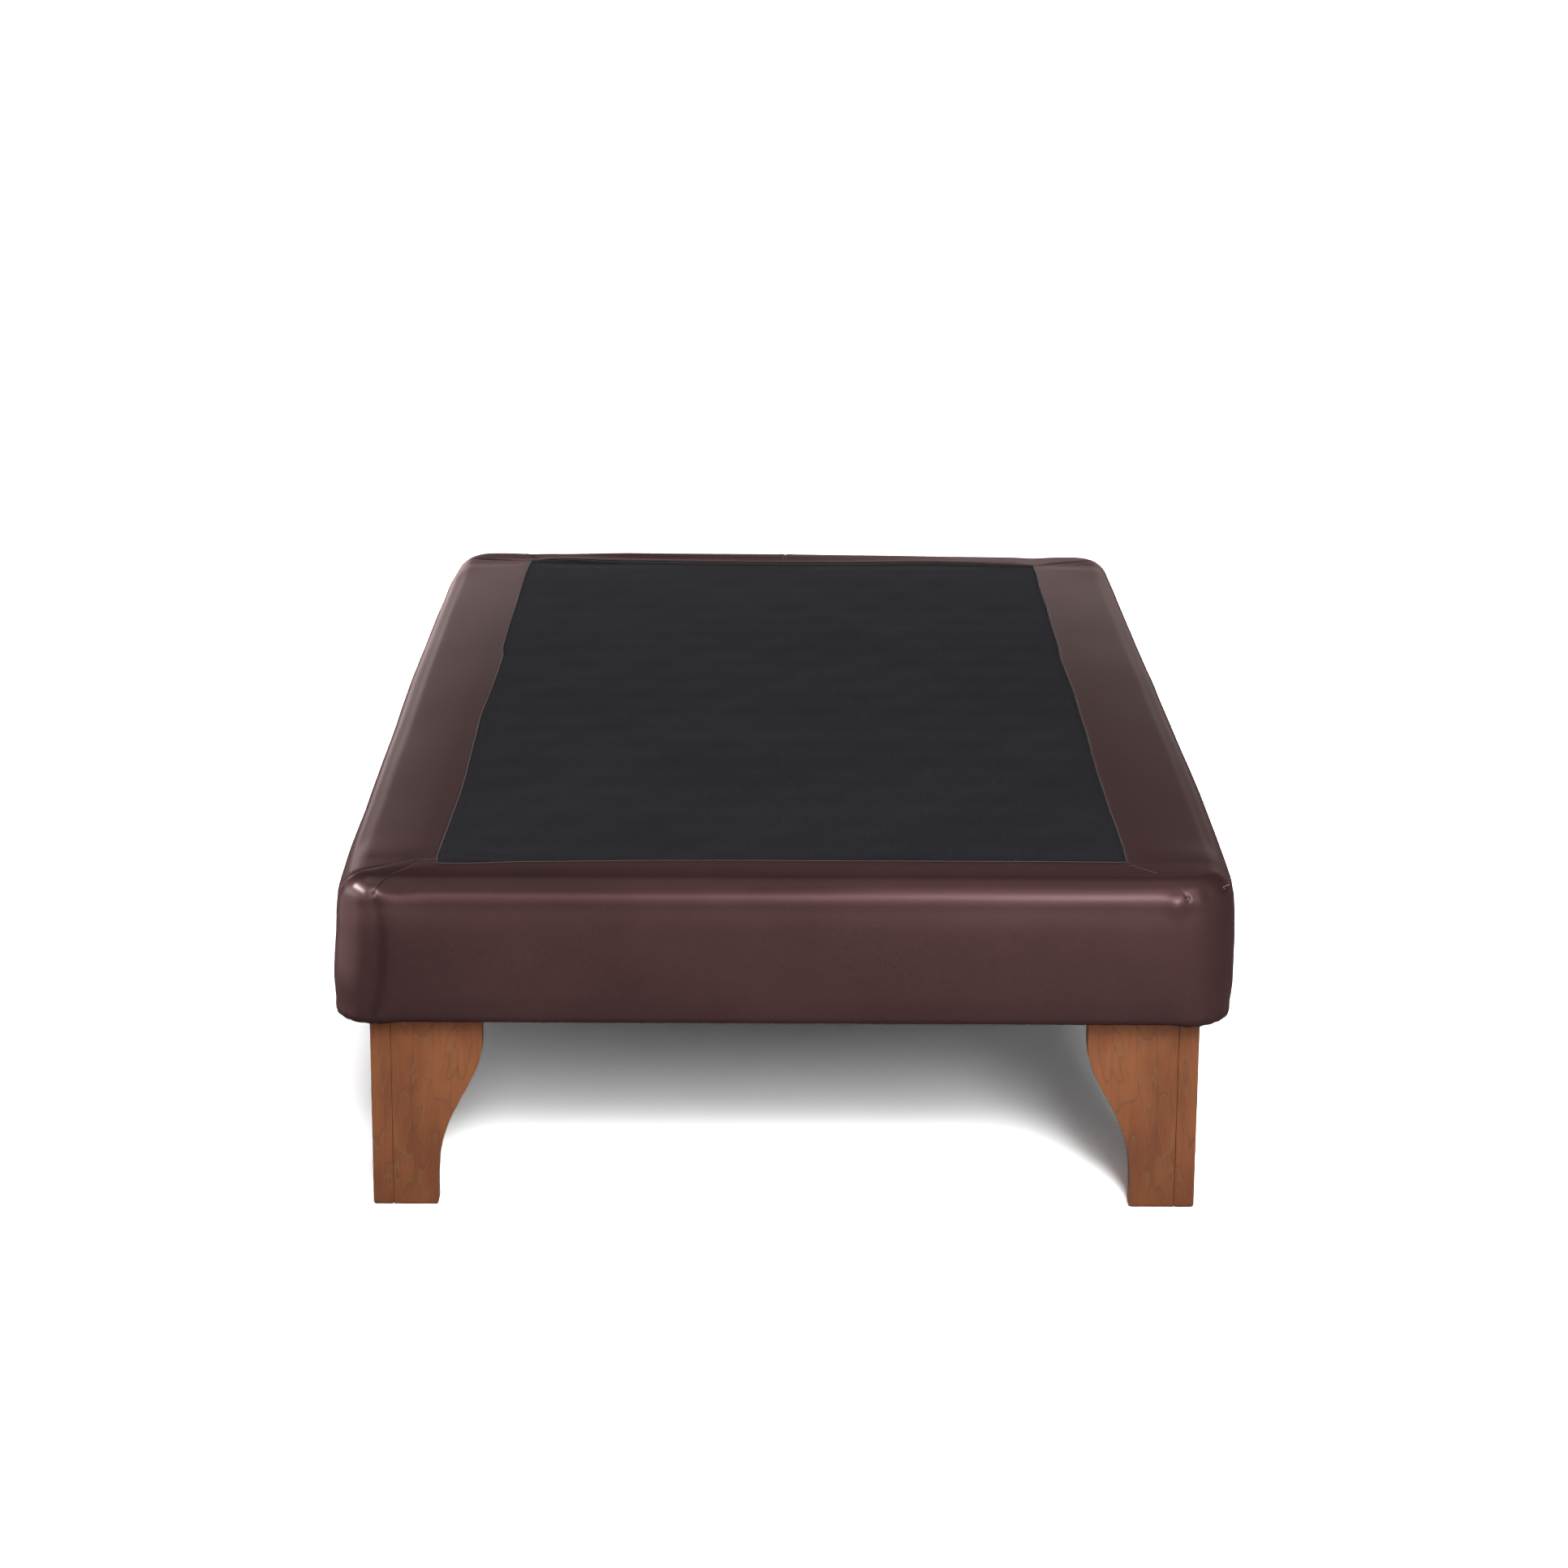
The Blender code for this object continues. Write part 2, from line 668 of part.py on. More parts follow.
def make_leg(corner, side_x, side_y):
    outer_x, outer_y = side_x * (WIDTH / 2 - LEG_INSET), side_y * (LENGTH / 2 - LEG_INSET)
    half = LEG_BOARD_THICK / 2
    inward_x = math.pi if side_x > 0 else 0.0
    inward_y = -side_y * QUARTER
    side_place = (outer_x - side_x * half, outer_y, 0)
    end_place = (outer_x, outer_y - side_y * half, 0)
    leg_board(f"leg_side_board_{corner}", 0.0, side_place, inward_y)
    leg_board(f"leg_end_board_{corner}", LEG_BOARD_THICK + GAP, end_place, inward_x)
    bolt_x, bolt_y = side_x * BOLT_X, side_y * BOLT_Y
    reach = LEG_BLOCK_SIDE / 2
    low = (bolt_x - reach, bolt_y - reach, LEG_BLOCK_Z)
    high = (bolt_x + reach, bolt_y + reach, LEG_HEIGHT)
    block = box(f"leg_block_{corner}", low, high, PINE)
    low, high = LEG_BLOCK_Z - CUT_OVERRUN, LEG_HEIGHT + CUT_OVERRUN
    hole = cutter(f"cut_bolt_{corner}", BOLT_HOLE_RADIUS, low, high, bolt_x, bolt_y)
    boolean(block, hole)
    dowel_x, dowel_y = dowel_place(side_x, side_y)
    radius, low = DOWEL_RADIUS + GAP, LEG_HEIGHT - DOWEL_DEPTH
    boolean(block, cutter(f"cut_dowel_{corner}", radius, low, high, dowel_x, dowel_y))


# Leg fixings


def dowel_place(side_x, side_y):
    """The dowel stands further from the corner than the bolt, on the same diagonal."""
    return side_x * (BOLT_X - DOWEL_OFFSET), side_y * (BOLT_Y - DOWEL_OFFSET)


def make_dowel(corner, side_x, side_y):
    low = LEG_HEIGHT - DOWEL_DEPTH + GAP
    high = FRAME_Z + DOWEL_DEPTH - GAP
    mesh = cylinder_mesh(f"leg_dowel_{corner}", DOWEL_RADIUS, high - low, BEECH)
    add_object(f"leg_dowel_{corner}", mesh, PARTS, (*dowel_place(side_x, side_y), low))


def make_washer(corner, x, y):
    high = LEG_BLOCK_Z - GAP
    outlines = [circle((x, y), WASHER_RADIUS), circle((x, y), BOLT_RADIUS + GAP)]
    plate(f"leg_washer_{corner}", outlines, high - WASHER_THICK, high, STEEL)


def make_tee_nut(corner, x, y):
    """Flange on the corner block, with the barrel down in its hole."""
    flange_low = CORNER_BLOCK_TOP_Z + GAP
    flange_top = flange_low + TEE_NUT_FLANGE_THICK
    barrel_low = CORNER_BLOCK_TOP_Z - TEE_NUT_BARREL
    profile = [
        (TEE_NUT_BORE, flange_top),
        (TEE_NUT_FLANGE_RADIUS, flange_top),
        (TEE_NUT_FLANGE_RADIUS, flange_low),
        (TEE_NUT_BARREL_RADIUS, flange_low),
        (TEE_NUT_BARREL_RADIUS, barrel_low),
        (TEE_NUT_BORE, barrel_low),
    ]
    nut = turned(f"leg_tee_nut_{corner}", profile, STEEL)
    nut.location = (x, y, 0)


def make_bolt(corner, x, y):
    """Hexagon head under the washer, shank up through the tee nut."""
    name = f"leg_bolt_{corner}"
    head_top = LEG_BLOCK_Z - GAP - WASHER_THICK - GAP
    shank_top = CORNER_BLOCK_TOP_Z + GAP + TEE_NUT_FLANGE_THICK + BOLT_END
    head_radius = BOLT_HEAD_FLATS / 2 / math.cos(math.pi / HEX_SIDES)
    mesh = cylinder_mesh(name, head_radius, BOLT_HEAD_THICK, STEEL, sides=HEX_SIDES)
    head_z = head_top - BOLT_HEAD_THICK
    bolt = add_object(name, mesh, PARTS, (x, y, head_z))
    shank_low = head_top - BOLT_HEAD_THICK / 2
    shank = cutter(f"join_shank_{corner}", BOLT_RADIUS, shank_low, shank_top, x, y)
    boolean(bolt, shank, "UNION")


clear_scene()
PARTS = new_collection("bed_base")
CUTTERS = new_collection("bed_base_cutters")
LEATHERETTE = new_material("leatherette", (0.098, 0.048, 0.048), 0.42)
BLACK_CLOTH = new_material("black_cloth", (0.021, 0.019, 0.023), 0.95)
DUST_CLOTH = new_material("dust_cloth", (0.012, 0.012, 0.013), 0.9)
FOAM = new_material("foam", (0.80, 0.72, 0.48), 0.9)
PINE = new_material("pine", (0.62, 0.43, 0.24), 0.6)
BEECH = new_material("beech", (0.55, 0.36, 0.20), 0.55)
HARDBOARD = new_material("hardboard", (0.19, 0.11, 0.06), 0.7)
LEG_WOOD = new_material("leg_wood", (0.231, 0.084, 0.038), 0.45)
STEEL = new_material("zinc_steel", (0.58, 0.59, 0.60), 0.35, 1.0)

make_rails()
make_slats()
make_deck()
make_corner_posts()
make_corner_blocks()
make_foam_sheet()
make_foam_strips()
make_cover_band()
make_top_panel()
make_dust_cover()
for corner_name, (corner_x, corner_y) in CORNERS.items():
    make_leg(corner_name, corner_x, corner_y)
    make_dowel(corner_name, corner_x, corner_y)
    make_washer(corner_name, corner_x * BOLT_X, corner_y * BOLT_Y)
    make_tee_nut(corner_name, corner_x * BOLT_X, corner_y * BOLT_Y)
    make_bolt(corner_name, corner_x * BOLT_X, corner_y * BOLT_Y)
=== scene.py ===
"""Looks of the upholstered bed base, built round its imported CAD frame.

Metres, +Z up. The foot end faces the camera at -Y, and +X is to its right.
"""

import math
from functools import partialmethod

import bpy
import numpy as np
from mathutils import Matrix, Vector
from mathutils.bvhtree import BVHTree
from numpy.linalg import norm


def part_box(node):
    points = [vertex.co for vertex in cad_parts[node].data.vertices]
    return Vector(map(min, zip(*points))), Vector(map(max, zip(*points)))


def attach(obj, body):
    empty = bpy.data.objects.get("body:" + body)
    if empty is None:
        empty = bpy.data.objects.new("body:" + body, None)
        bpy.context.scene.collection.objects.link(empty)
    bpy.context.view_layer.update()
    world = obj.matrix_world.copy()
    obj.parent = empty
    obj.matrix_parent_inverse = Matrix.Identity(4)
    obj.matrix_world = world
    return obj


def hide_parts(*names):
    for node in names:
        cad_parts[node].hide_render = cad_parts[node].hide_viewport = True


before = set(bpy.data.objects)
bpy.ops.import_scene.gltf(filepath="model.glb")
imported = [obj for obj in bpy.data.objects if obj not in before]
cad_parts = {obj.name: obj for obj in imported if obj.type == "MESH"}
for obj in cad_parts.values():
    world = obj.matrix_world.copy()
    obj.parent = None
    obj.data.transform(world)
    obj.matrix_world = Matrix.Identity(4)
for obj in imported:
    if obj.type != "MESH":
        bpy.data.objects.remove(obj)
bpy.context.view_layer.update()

QUARTER = math.pi / 2

# Sizes of the CAD part
COVER_LOW, COVER_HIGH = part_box("cover_band")
HALF_X, HALF_Y, TOP_Z, UNDER_Z = COVER_HIGH.x, COVER_HIGH.y, COVER_HIGH.z, COVER_LOW.z
CORNER_RADIUS = 0.062
TOP_ROLL_RADIUS = 0.032
BOTTOM_ROLL_RADIUS = 0.012
SIDE_CROWN = 0.004
HEM_WIDTH = 0.06
COVER_THICK = 0.0012
CLOTH_THICK = 0.0009
DUST_THICK = 0.0004
GAP = 0.0003
PANEL_CORNER_RADIUS = 0.003
PANEL_X = HALF_X - 0.122
PANEL_FOOT_Y = HALF_Y - 0.082
PANEL_HEAD_Y = HALF_Y - 0.098
FRAME_INSET = 0.0188
DUST_MARGIN = 0.022

# Steps between stations round the band: coarse, at the head end's middle seam, and at the
# corners, given as the side in X, the side in Y and the step
COARSE_STEP = 0.014
MIDDLE_STEP, MIDDLE_REACH, CORNER_REACH = 0.002, 0.012, 0.045
CORNERS = ((-1, 1, 0.0034), (-1, -1, 0.0018), (1, -1, 0.0018), (1, 1, 0.0034))
MARGIN_ROWS = 18
ROLL_ROWS, SIDE_ROWS, LOWER_ROLL_ROWS = 20, 23, 8
HEM_INSETS = (0.019, 0.022, 0.026, 0.032, 0.04, 0.05, HEM_WIDTH)


def mm(*values):
    """Points or rows of a table, given in millimetres."""
    return np.array(values) / 1000


# The sewn outline of the top panel, as measured: how far each edge lies outside a rectangle
SEAM_LEFT = mm(
    (-868, 3), (-845, 6), (-800, 5.2), (-741, 4), (-653, 2.3), (-562, 0.6), (-467, 0.8),
    (-369, 2.1), (-266, 3.4), (-159, 4.8), (-48, 1.8), (68, -0.2), (170, -1.2), (200, -0.6),
    (235, 3.2), (380, 3.4), (515, 2.5), (731, 2.6), (820, 0.6), (852, -2.8),
)
SEAM_RIGHT = mm(
    (-868, -3.4), (-813, -2.6), (-727, -2.8), (-639, -4), (-547, -4.3), (-452, -4.6), (-353, -3.8),
    (-250, -1.9), (-143, -2.2), (-32, -1.3), (84, -2.7), (180, -4.6), (215, -3.8), (268, -2),
    (398, -2.2), (533, -0.8), (691, -1.8), (778, 0.4), (852, -1.2),
)
SEAM_FOOT = mm(
    (-403, -4.5), (-393, -5.6), (-349, -3.2), (-310, 3.2), (-254, 5.5), (-159, 10.5), (-64, 12.5),
    (124, 12.8), (313, 13), (403, 11.6),
)
SEAM_HEAD = mm(
    (-403, 23.6), (-383, 33.8), (-361, 41.5), (-328, 41), (-300, 35.1), (-266, 30.2), (-30, 19.5),
    (43, 20.3), (116, 22.1), (189, 27.5), (233, 30.5), (298, 23), (371, 12.1), (403, 6.2),
)
HEM_LINE_HEAD = mm(
    (-403, 21.2), (-382, 20), (-355, 24), (-325, 25), (-300, 20.9), (-266, 14), (-30, 3.3),
    (42, 3), (115, 4.5), (188, 12.5), (232, 15.2), (298, 8.5), (370, 1), (403, 4),
)

# How much fuller than the plain box the cover stands: outward at the top of the sides, by
# Y; outward at the foot's corners, by Z; and up along the head end, by X
BULGE_LEFT = mm(
    (-950, 0), (-900, -2.2), (-862, -0.8), (-793, 0.5), (-723, 2), (-575, 2.7), (-377, 4.6),
    (-163, 5.2), (71, 8), (325, 7.9), (546, 7.4), (784, 5.5), (910, 0.4), (950, 0),
)
BULGE_RIGHT = mm(
    (-950, 0), (-910, 0.8), (-885, 1.3), (-844, 4.4), (-776, 5.7), (-705, 6.8), (-557, 8),
    (-358, 8.3), (-142, 6.7), (92, 6.6), (347, 4.8), (570, 4), (808, 3.9), (936, 2.5), (950, 3),
)
CORNER_BULGE_LEFT = mm(
    (234, 6.8), (240, 6.8), (244.5, 5.5), (252.5, 4.6), (279, 4), (310, 1.8), (335, 1), (360, 1.7),
    (385, 1.4), (402, 0),
)
CORNER_BULGE_RIGHT = mm(
    (234, 1.2), (242, 0.8), (252.5, -0.6), (275, 0), (315, -2), (345, -1.8), (370, -0.9),
    (395, -0.6), (410, 0),
)
HEAD_RISE = mm(
    (-520, 0), (-500, 1.3), (-480, 2.6), (-440, 2.8), (-374, 2.4), (-242, 4.1), (-20, 3.4),
    (154, 2.2), (286, 0.3), (418, -0.5), (458, 0.5), (520, 0),
)

# Seams and creases on the band: points in XYZ that are then moved onto its surface
FOOT_LEFT_STEM = mm((-404.5, -856, 410), (-410.5, -853.5, 410), (-416.9, -852.5, 410))
FOOT_LEFT_UPPER = mm(
    (-416.9, -852.5, 410), (-435.7, -856.5, 409.7), (-448.2, -868, 409.5), (-461.2, -879.5, 409.3),
    (-472.3, -888.1, 409.5), (-485.3, -898.2, 409.5), (-496.4, -906.1, 407.6),
    (-504.2, -907.3, 402.7), (-510.5, -906, 396.2), (-514.4, -902.7, 390.3),
)
FOOT_LEFT_LOWER = mm(
    (-416.9, -852.5, 410), (-423, -858.9, 409.9), (-432.1, -873.5, 409.6), (-440.3, -889.3, 409.3),
    (-450.9, -905.3, 407.6), (-461.3, -920.6, 404.8), (-468.1, -932.1, 400.9),
    (-471.8, -937.2, 397), (-474.6, -940.3, 392),
)
FOOT_LEFT_VALLEY = mm(
    (-474.1, -943, 390), (-469.7, -945.6, 378), (-466.5, -947.9, 359.5), (-464.8, -949.2, 341),
    (-464.8, -950, 316.3), (-466.6, -949.5, 291.6), (-471, -947.3, 266.9), (-478, -944, 240),
)
FOOT_RIGHT_LINE = mm(
    (400, -872, 410), (405, -867.2, 410), (416.1, -883.3, 410), (429.9, -901.2, 410),
)
HEAD_LEFT_OUTER = mm(
    (-391, 874, 410), (-421, 872.7, 410), (-452, 876, 410), (-479.4, 879.7, 410), (-500, 890, 405),
    (-514, 898, 394),
)
HEAD_LEFT_INNER = mm(
    (-391, 874, 410), (-400, 896.8, 410), (-411.1, 919.6, 409.5), (-425, 935, 403),
    (-436, 943, 391),
)
HEAD_RIGHT_OUTER = mm(
    (406.9, 857, 410), (450.6, 872.7, 410), (485, 885, 409.5), (503.6, 898.9, 405.7),
    (511, 907, 398),
)
HEAD_SEAMS = (HEAD_LEFT_OUTER, HEAD_LEFT_INNER, HEAD_RIGHT_OUTER)
DIMPLE_FOLD = mm(
    (454, -932.4, 402.7), (457.7, -938.2, 398.6), (460.5, -940.5, 394.8), (462.8, -941.8, 391.6),
)
DIMPLE_HOOK = mm((458.9, -942.6, 392.7), (461.7, -943, 390.3), (464.5, -941, 391.7))
PUCKER_LONG = mm(
    (504.6, -915.8, 398.1), (508, -911.3, 397.9), (511.4, -906.4, 397.5), (514.6, -899.1, 396.3),
)
PUCKER_SHORT = mm((505.8, -914, 398), (506.5, -915.9, 397.1), (507.7, -914.7, 395.3))

# The puff on the left foot corner, and the dimple and the swelling beside it on the right one
LOBE = mm(-491.5, -929, 399.5)
DIMPLE = mm(462.8, -941.8, 391.6)
DIMPLE_BULGE = mm(450, -948, 383.5)
HEAD_MIDDLE_X = 0.0055

# Sewn lines and creases on the band: path, depths along it and width in millimetres
SEAM_DEPTHS = (0.3, 0.6, 1.2, 0.6)
GROOVES = (
    (FOOT_LEFT_STEM, (0.3, 0.3), 1.2),
    (FOOT_LEFT_UPPER, (0.2, 0.3, 0.4, 0.9, 2.2, 2.8), 1.7),
    (FOOT_LEFT_LOWER, (0.2, 0.5, 0.9, 1.8, 2.8, 2.4), 1.8),
    (FOOT_RIGHT_LINE, (0.2, 0.4, 0.2, 0), 1.2),
    (DIMPLE_FOLD, (0, 0.4, 1), 2),
    (mm((468, -945, 380), (470, -948, 300)), (1,), 13),
    (HEAD_LEFT_OUTER, SEAM_DEPTHS, 2.6),
    (HEAD_LEFT_INNER, SEAM_DEPTHS, 2.6),
    (HEAD_RIGHT_OUTER, (0.3, 0.6, 1, 0.4), 2.6),
    (mm((-466, 945, 385), (-464, 950, 270)), (1.6,), 11),
    (mm((466, 945, 385), (464, 950, 270)), (1.6,), 11),
)
VALLEY_DEPTHS = ((0, 0.06, 0.35, 0.7, 1), (0.0024, 0.0036, 0.0036, 0.0028, 0.0014))
VALLEY_WIDTH = 0.009

# Round dents, or swellings where the depth is negative: centre, depth and width in millimetres
DENTS = (
    (mm(-516, -908, 390), 2.2, 6.5),
    (mm(-442, -935, 403), 2.6, 26),
    (DIMPLE, 1.8, 2.6),
    (mm(470, -940, 395), 0.8, 8),
    (DIMPLE_BULGE, -2.4, 11.5),
    (mm(486, -935, 396), 1.8, 12),
    (mm(508.5, -916.5, 398.5), 1.2, 6),
)
LOBE_HEIGHT, LOBE_WIDTH, LOBE_STRETCH = 0.0036, 0.0175, (1, 1, 1.1)

# Heights of the band's broad forms, and lengths of its unevenness
SIDE_WAVE, SIDE_WAVE_LENGTH = 0.0005, 0.2
FINE_WAVE, FINE_WAVE_LENGTH = 0.0001, 0.06
CROWN, CROWN_WAVE, CROWN_WAVE_LENGTH = 0.0011, 0.0002, 0.28
SIDE_MARGIN_FALL = 0.003
FOOT_MARGIN_FALL, FOOT_MARGIN_FALL_LEFT = 0.0008, 0.0016
UPPER_FACE_FALL = 0.0016
LOWER_FACE_FALL = 0.0032
LOW_SIDE_BULGE = 0.0022
BOTTOM_SAG = 0.0034
PLEAT_HEIGHT = 0.0003

# Folds of the top cloth near its corners, in XY: path, height and width
CLOTH_FOLDS = (
    (mm((-375, 868), (-325, 872), (-285, 862)), 0.0022, 0.006),
    (mm((-330, 850), (-290, 853), (-250, 846)), -0.0016, 0.008),
    (mm((-395, -846), (-375, -858), (-350, -862)), 0.0012, 0.006),
    (mm((-390, -820), (-340, -828), (-290, -826)), 0.0008, 0.01),
)

# A stitch, seen as rings round its thread: place along it, lift and size
STITCH_RINGS = (
    (-0.5, -0.9, 0.5), (-0.3, 0.1, 0.95), (0, 0.45, 1), (0.3, 0.1, 0.95), (0.5, -0.9, 0.5)
)
STITCH_LENGTH, STITCH_RADIUS, STITCH_PITCH, STITCH_SIDES = 0.0023, 0.00048, 0.0032, 6
RIDGE_PITCH, RIDGE_SIDES = 0.0006, 8

# Camera, as solved from the photograph
CAMERA_PLACE = (-0.023, -5.173, 1.654)
CAMERA_PITCH, CAMERA_YAW, CAMERA_ROLL = map(math.radians, (14.93, 0.27, -0.34))
CAMERA_LENS, CAMERA_SENSOR = 88.2, 36.0


# Meshes


def link(obj):
    bpy.context.scene.collection.objects.link(obj)
    return obj


def mesh_object(name, points, faces, material):
    mesh = bpy.data.meshes.new(name)
    mesh.from_pydata(np.reshape(points, (-1, 3)).tolist(), [], faces)
    mesh.materials.append(material)
    mesh.shade_smooth()
    return link(bpy.data.objects.new(name, mesh))


def thicken(sheet, thickness):
    """Give a sheet its real thickness, inward from its outer face."""
    solidify = sheet.modifiers.new("Thickness", "SOLIDIFY")
    solidify.thickness = thickness
    solidify.offset = -1


def declare(piece, node=None):
    """A piece's body, and the CAD node that it replaces, if any."""
    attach(piece, "root")
    if node:
        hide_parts(node)


def grid_faces(rows, columns, start=0, closed=True, joined=False):
    """Quads between a grid's rows, which may be closed, and the last joined to the first."""
    faces = []
    for row in range(rows if joined else rows - 1):
        for column in range(columns if closed else columns - 1):
            after = (column + 1) % columns
            here, below = start + row * columns, start + (row + 1) % rows * columns
            faces.append((here + column, below + column, below + after, here + after))
    return faces


def tube_faces(rows, columns, start=0, joined=False):
    """Quads between closed rows; the ends are joined, or have a cap each."""
    last = start + (rows - 1) * columns
    caps = [tuple(range(start, start + columns)), tuple(range(last + columns - 1, last - 1, -1))]
    return grid_faces(rows, columns, start, joined=joined) + ([] if joined else caps)


def normals_of(grid):
    """Unit normals of a grid of points with closed rows."""
    down = np.gradient(grid, axis=0)
    along = np.roll(grid, -1, axis=1) - np.roll(grid, 1, axis=1)
    normals = np.cross(down, along)
    return normals / np.maximum(norm(normals, axis=2, keepdims=True), 1e-12)


def at_height(places, height):
    """Points in plan, lifted to one height or to one each."""
    return np.column_stack([places, np.broadcast_to(height, len(places))])


def waves(points, length, seed):
    """Smooth unevenness between about -1 and 1, with bumps of this length."""
    rng = np.random.default_rng(seed)
    total = np.zeros(points.shape[:-1])
    for _ in range(7):
        direction = rng.normal(size=3)
        direction /= norm(direction) * length * rng.uniform(0.7, 1.5)
        total += np.sin(math.tau * points @ direction + rng.uniform(0, math.tau))
    return total / 3.2


def travelled(path):
    """How far along a path each of its points lies."""
    return np.concatenate([[0], np.cumsum(norm(np.diff(path, axis=0), axis=1))])


def points_at(path, places):
    """The points that lie this far along a path."""
    return np.stack([np.interp(places, travelled(path), axis) for axis in path.T], axis=1)


def along_list(shares, values):
    """Values that are evenly spaced in a list, read at shares from 0 to 1."""
    return np.interp(shares, np.linspace(0, 1, len(values)), values)


def rounded(path, count=28):
    """A path drawn through these points with its corners rounded off."""
    smooth = points_at(path, np.linspace(0, travelled(path)[-1], count))
    for _ in range(5):
        smooth[1:-1] = (smooth[:-2] + 2 * smooth[1:-1] + smooth[2:]) / 4
    return smooth


def spaced(path, pitch):
    """Points along a rounded path at an even pitch."""
    path = rounded(path)
    return points_at(path, np.arange(pitch / 2, travelled(path)[-1], pitch))


def to_path(points, path):
    """Each point's distance to a path, and its place along it from 0 to 1."""
    starts = travelled(path)
    nearest = np.full(points.shape[:-1], np.inf)
    place = np.zeros(points.shape[:-1])
    for start, piece, length, before in zip(path, np.diff(path, axis=0), np.diff(starts), starts):
        share = np.clip((points - start) @ piece / length**2, 0, 1)
        distance = norm(points - start - share[..., None] * piece, axis=-1)
        closer = distance < nearest
        nearest = np.where(closer, distance, nearest)
        place = np.where(closer, (before + share * length) / starts[-1], place)
    return nearest, place


def bell(distance, width):
    return np.exp(-((distance / width) ** 2))


def round_bell(points, centre, width, stretch=1.0):
    """A bell round a point, narrower along a stretched axis."""
    return bell(norm((points - centre) * stretch, axis=-1), width)


def ramp(value, start, end):
    """A smooth step from 0 at the start to 1 at the end, which may be lower."""
    share = np.clip((value - start) / (end - start), 0, 1)
    return share * share * (3 - 2 * share)


# The band of leatherette: stations round it, and levels down it


def edge_places(length, start_step, end_step, reach, blend=0.22):
    """Places from 0 to length, finer towards the ends."""
    places = [0.0]
    while places[-1] < length:
        ends = (start_step, places[-1]), (end_step, length - places[-1])
        places.append(places[-1] + min(
            step + (COARSE_STEP - step) * np.clip((distance - reach) / blend, 0, 1)
            for step, distance in ends
        ))
    return np.array(places) * length / places[-1]


def make_ring():
    """Skeleton point, normal and panel point of each station, anticlockwise from the head."""
    reach = np.array((HALF_X, HALF_Y)) - CORNER_RADIUS
    middle = (0, 1, MIDDLE_STEP)
    skeleton, turns = [], []
    for number, ((*here, step), (*there, next_step)) in enumerate(
        zip((middle, *CORNERS), (*CORNERS, middle))
    ):
        start = QUARTER * number
        here, there = here * reach, there * reach
        arc = np.arange(0, QUARTER, step / CORNER_RADIUS) if number else np.array(())
        run = there - here
        length = norm(run)
        fine_reach = MIDDLE_REACH if number in (0, 4) else CORNER_REACH
        places = edge_places(length, step, next_step, fine_reach)[:-1]
        skeleton += [here] * len(arc) + [here + run * place / length for place in places]
        turns += [*(start + arc), *[start + QUARTER] * len(places)]
    skeleton = np.array(skeleton)
    normals = np.stack([np.cos(turns), np.sin(turns)], axis=1)
    normals[abs(normals) < 1e-9] = 0
    panel_y = np.where(skeleton[:, 1] > 0, PANEL_HEAD_Y, PANEL_FOOT_Y)
    panel_reach = np.stack([np.full(len(panel_y), PANEL_X), panel_y], axis=1) - PANEL_CORNER_RADIUS
    return skeleton, normals, skeleton / reach * panel_reach + PANEL_CORNER_RADIUS * normals


def table(pairs, value):
    return np.interp(value, *pairs.T)


def eased(pairs, value):
    """The table's value with its corners rounded off."""
    steps = (-0.012, -0.006, 0.0, 0.006, 0.012)
    return sum(table(pairs, value + step) for step in steps) / len(steps)


def seam_warp(x, y):
    """How far the hand-sewn outline moves a point of the panel's rectangle."""
    right_share = np.clip((x / PANEL_X + 1) / 2, 0, 1)
    head_share = np.clip((y + PANEL_FOOT_Y) / (PANEL_FOOT_Y + PANEL_HEAD_Y), 0, 1)
    move_x = eased(SEAM_RIGHT, y) * right_share - eased(SEAM_LEFT, y) * (1 - right_share)
    move_y = eased(SEAM_HEAD, x) * head_share + eased(SEAM_FOOT, x) * (1 - head_share)
    return np.stack([move_x, move_y], axis=-1)


def make_profile():
    """Inset and height down the band, from its top roll to the hem's inner edge."""
    over, under = (np.linspace(0, QUARTER, rows) for rows in (ROLL_ROWS, LOWER_ROLL_ROWS))
    share = np.linspace(0, 1, SIDE_ROWS)[1:-1]
    side_top, side_low = TOP_Z - TOP_ROLL_RADIUS, UNDER_Z + BOTTOM_ROLL_RADIUS
    insets = (
        SIDE_CROWN + TOP_ROLL_RADIUS * (1 - np.sin(over)),
        SIDE_CROWN * (1 - 2 * share) ** 2,
        SIDE_CROWN + BOTTOM_ROLL_RADIUS * (1 - np.cos(under)),
        HEM_INSETS,
    )
    heights = (
        side_top + TOP_ROLL_RADIUS * np.cos(over),
        side_top - share * (side_top - side_low),
        side_low - BOTTOM_ROLL_RADIUS * np.sin(under),
        np.full(len(HEM_INSETS), UNDER_Z),
    )
    return np.stack([np.concatenate(insets), np.concatenate(heights)], axis=1)


SKELETON, NORMALS, PANEL_EDGE = make_ring()
PROFILE = make_profile()


def plain_band():
    """The band's grid before seams and creases: levels by stations."""
    seam = PANEL_EDGE + seam_warp(*PANEL_EDGE.T)
    roll_start = SKELETON + (CORNER_RADIUS - PROFILE[0, 0]) * NORMALS
    rows = [
        at_height(seam + (roll_start - seam) * share, TOP_Z)
        for share in np.linspace(0, 1, MARGIN_ROWS + 1)[:-1]
    ]
    for inset, height in PROFILE:
        reach = max(CORNER_RADIUS - inset, PANEL_CORNER_RADIUS)
        rows.append(at_height(SKELETON + reach * NORMALS, height))
    return fuller(np.array(rows))


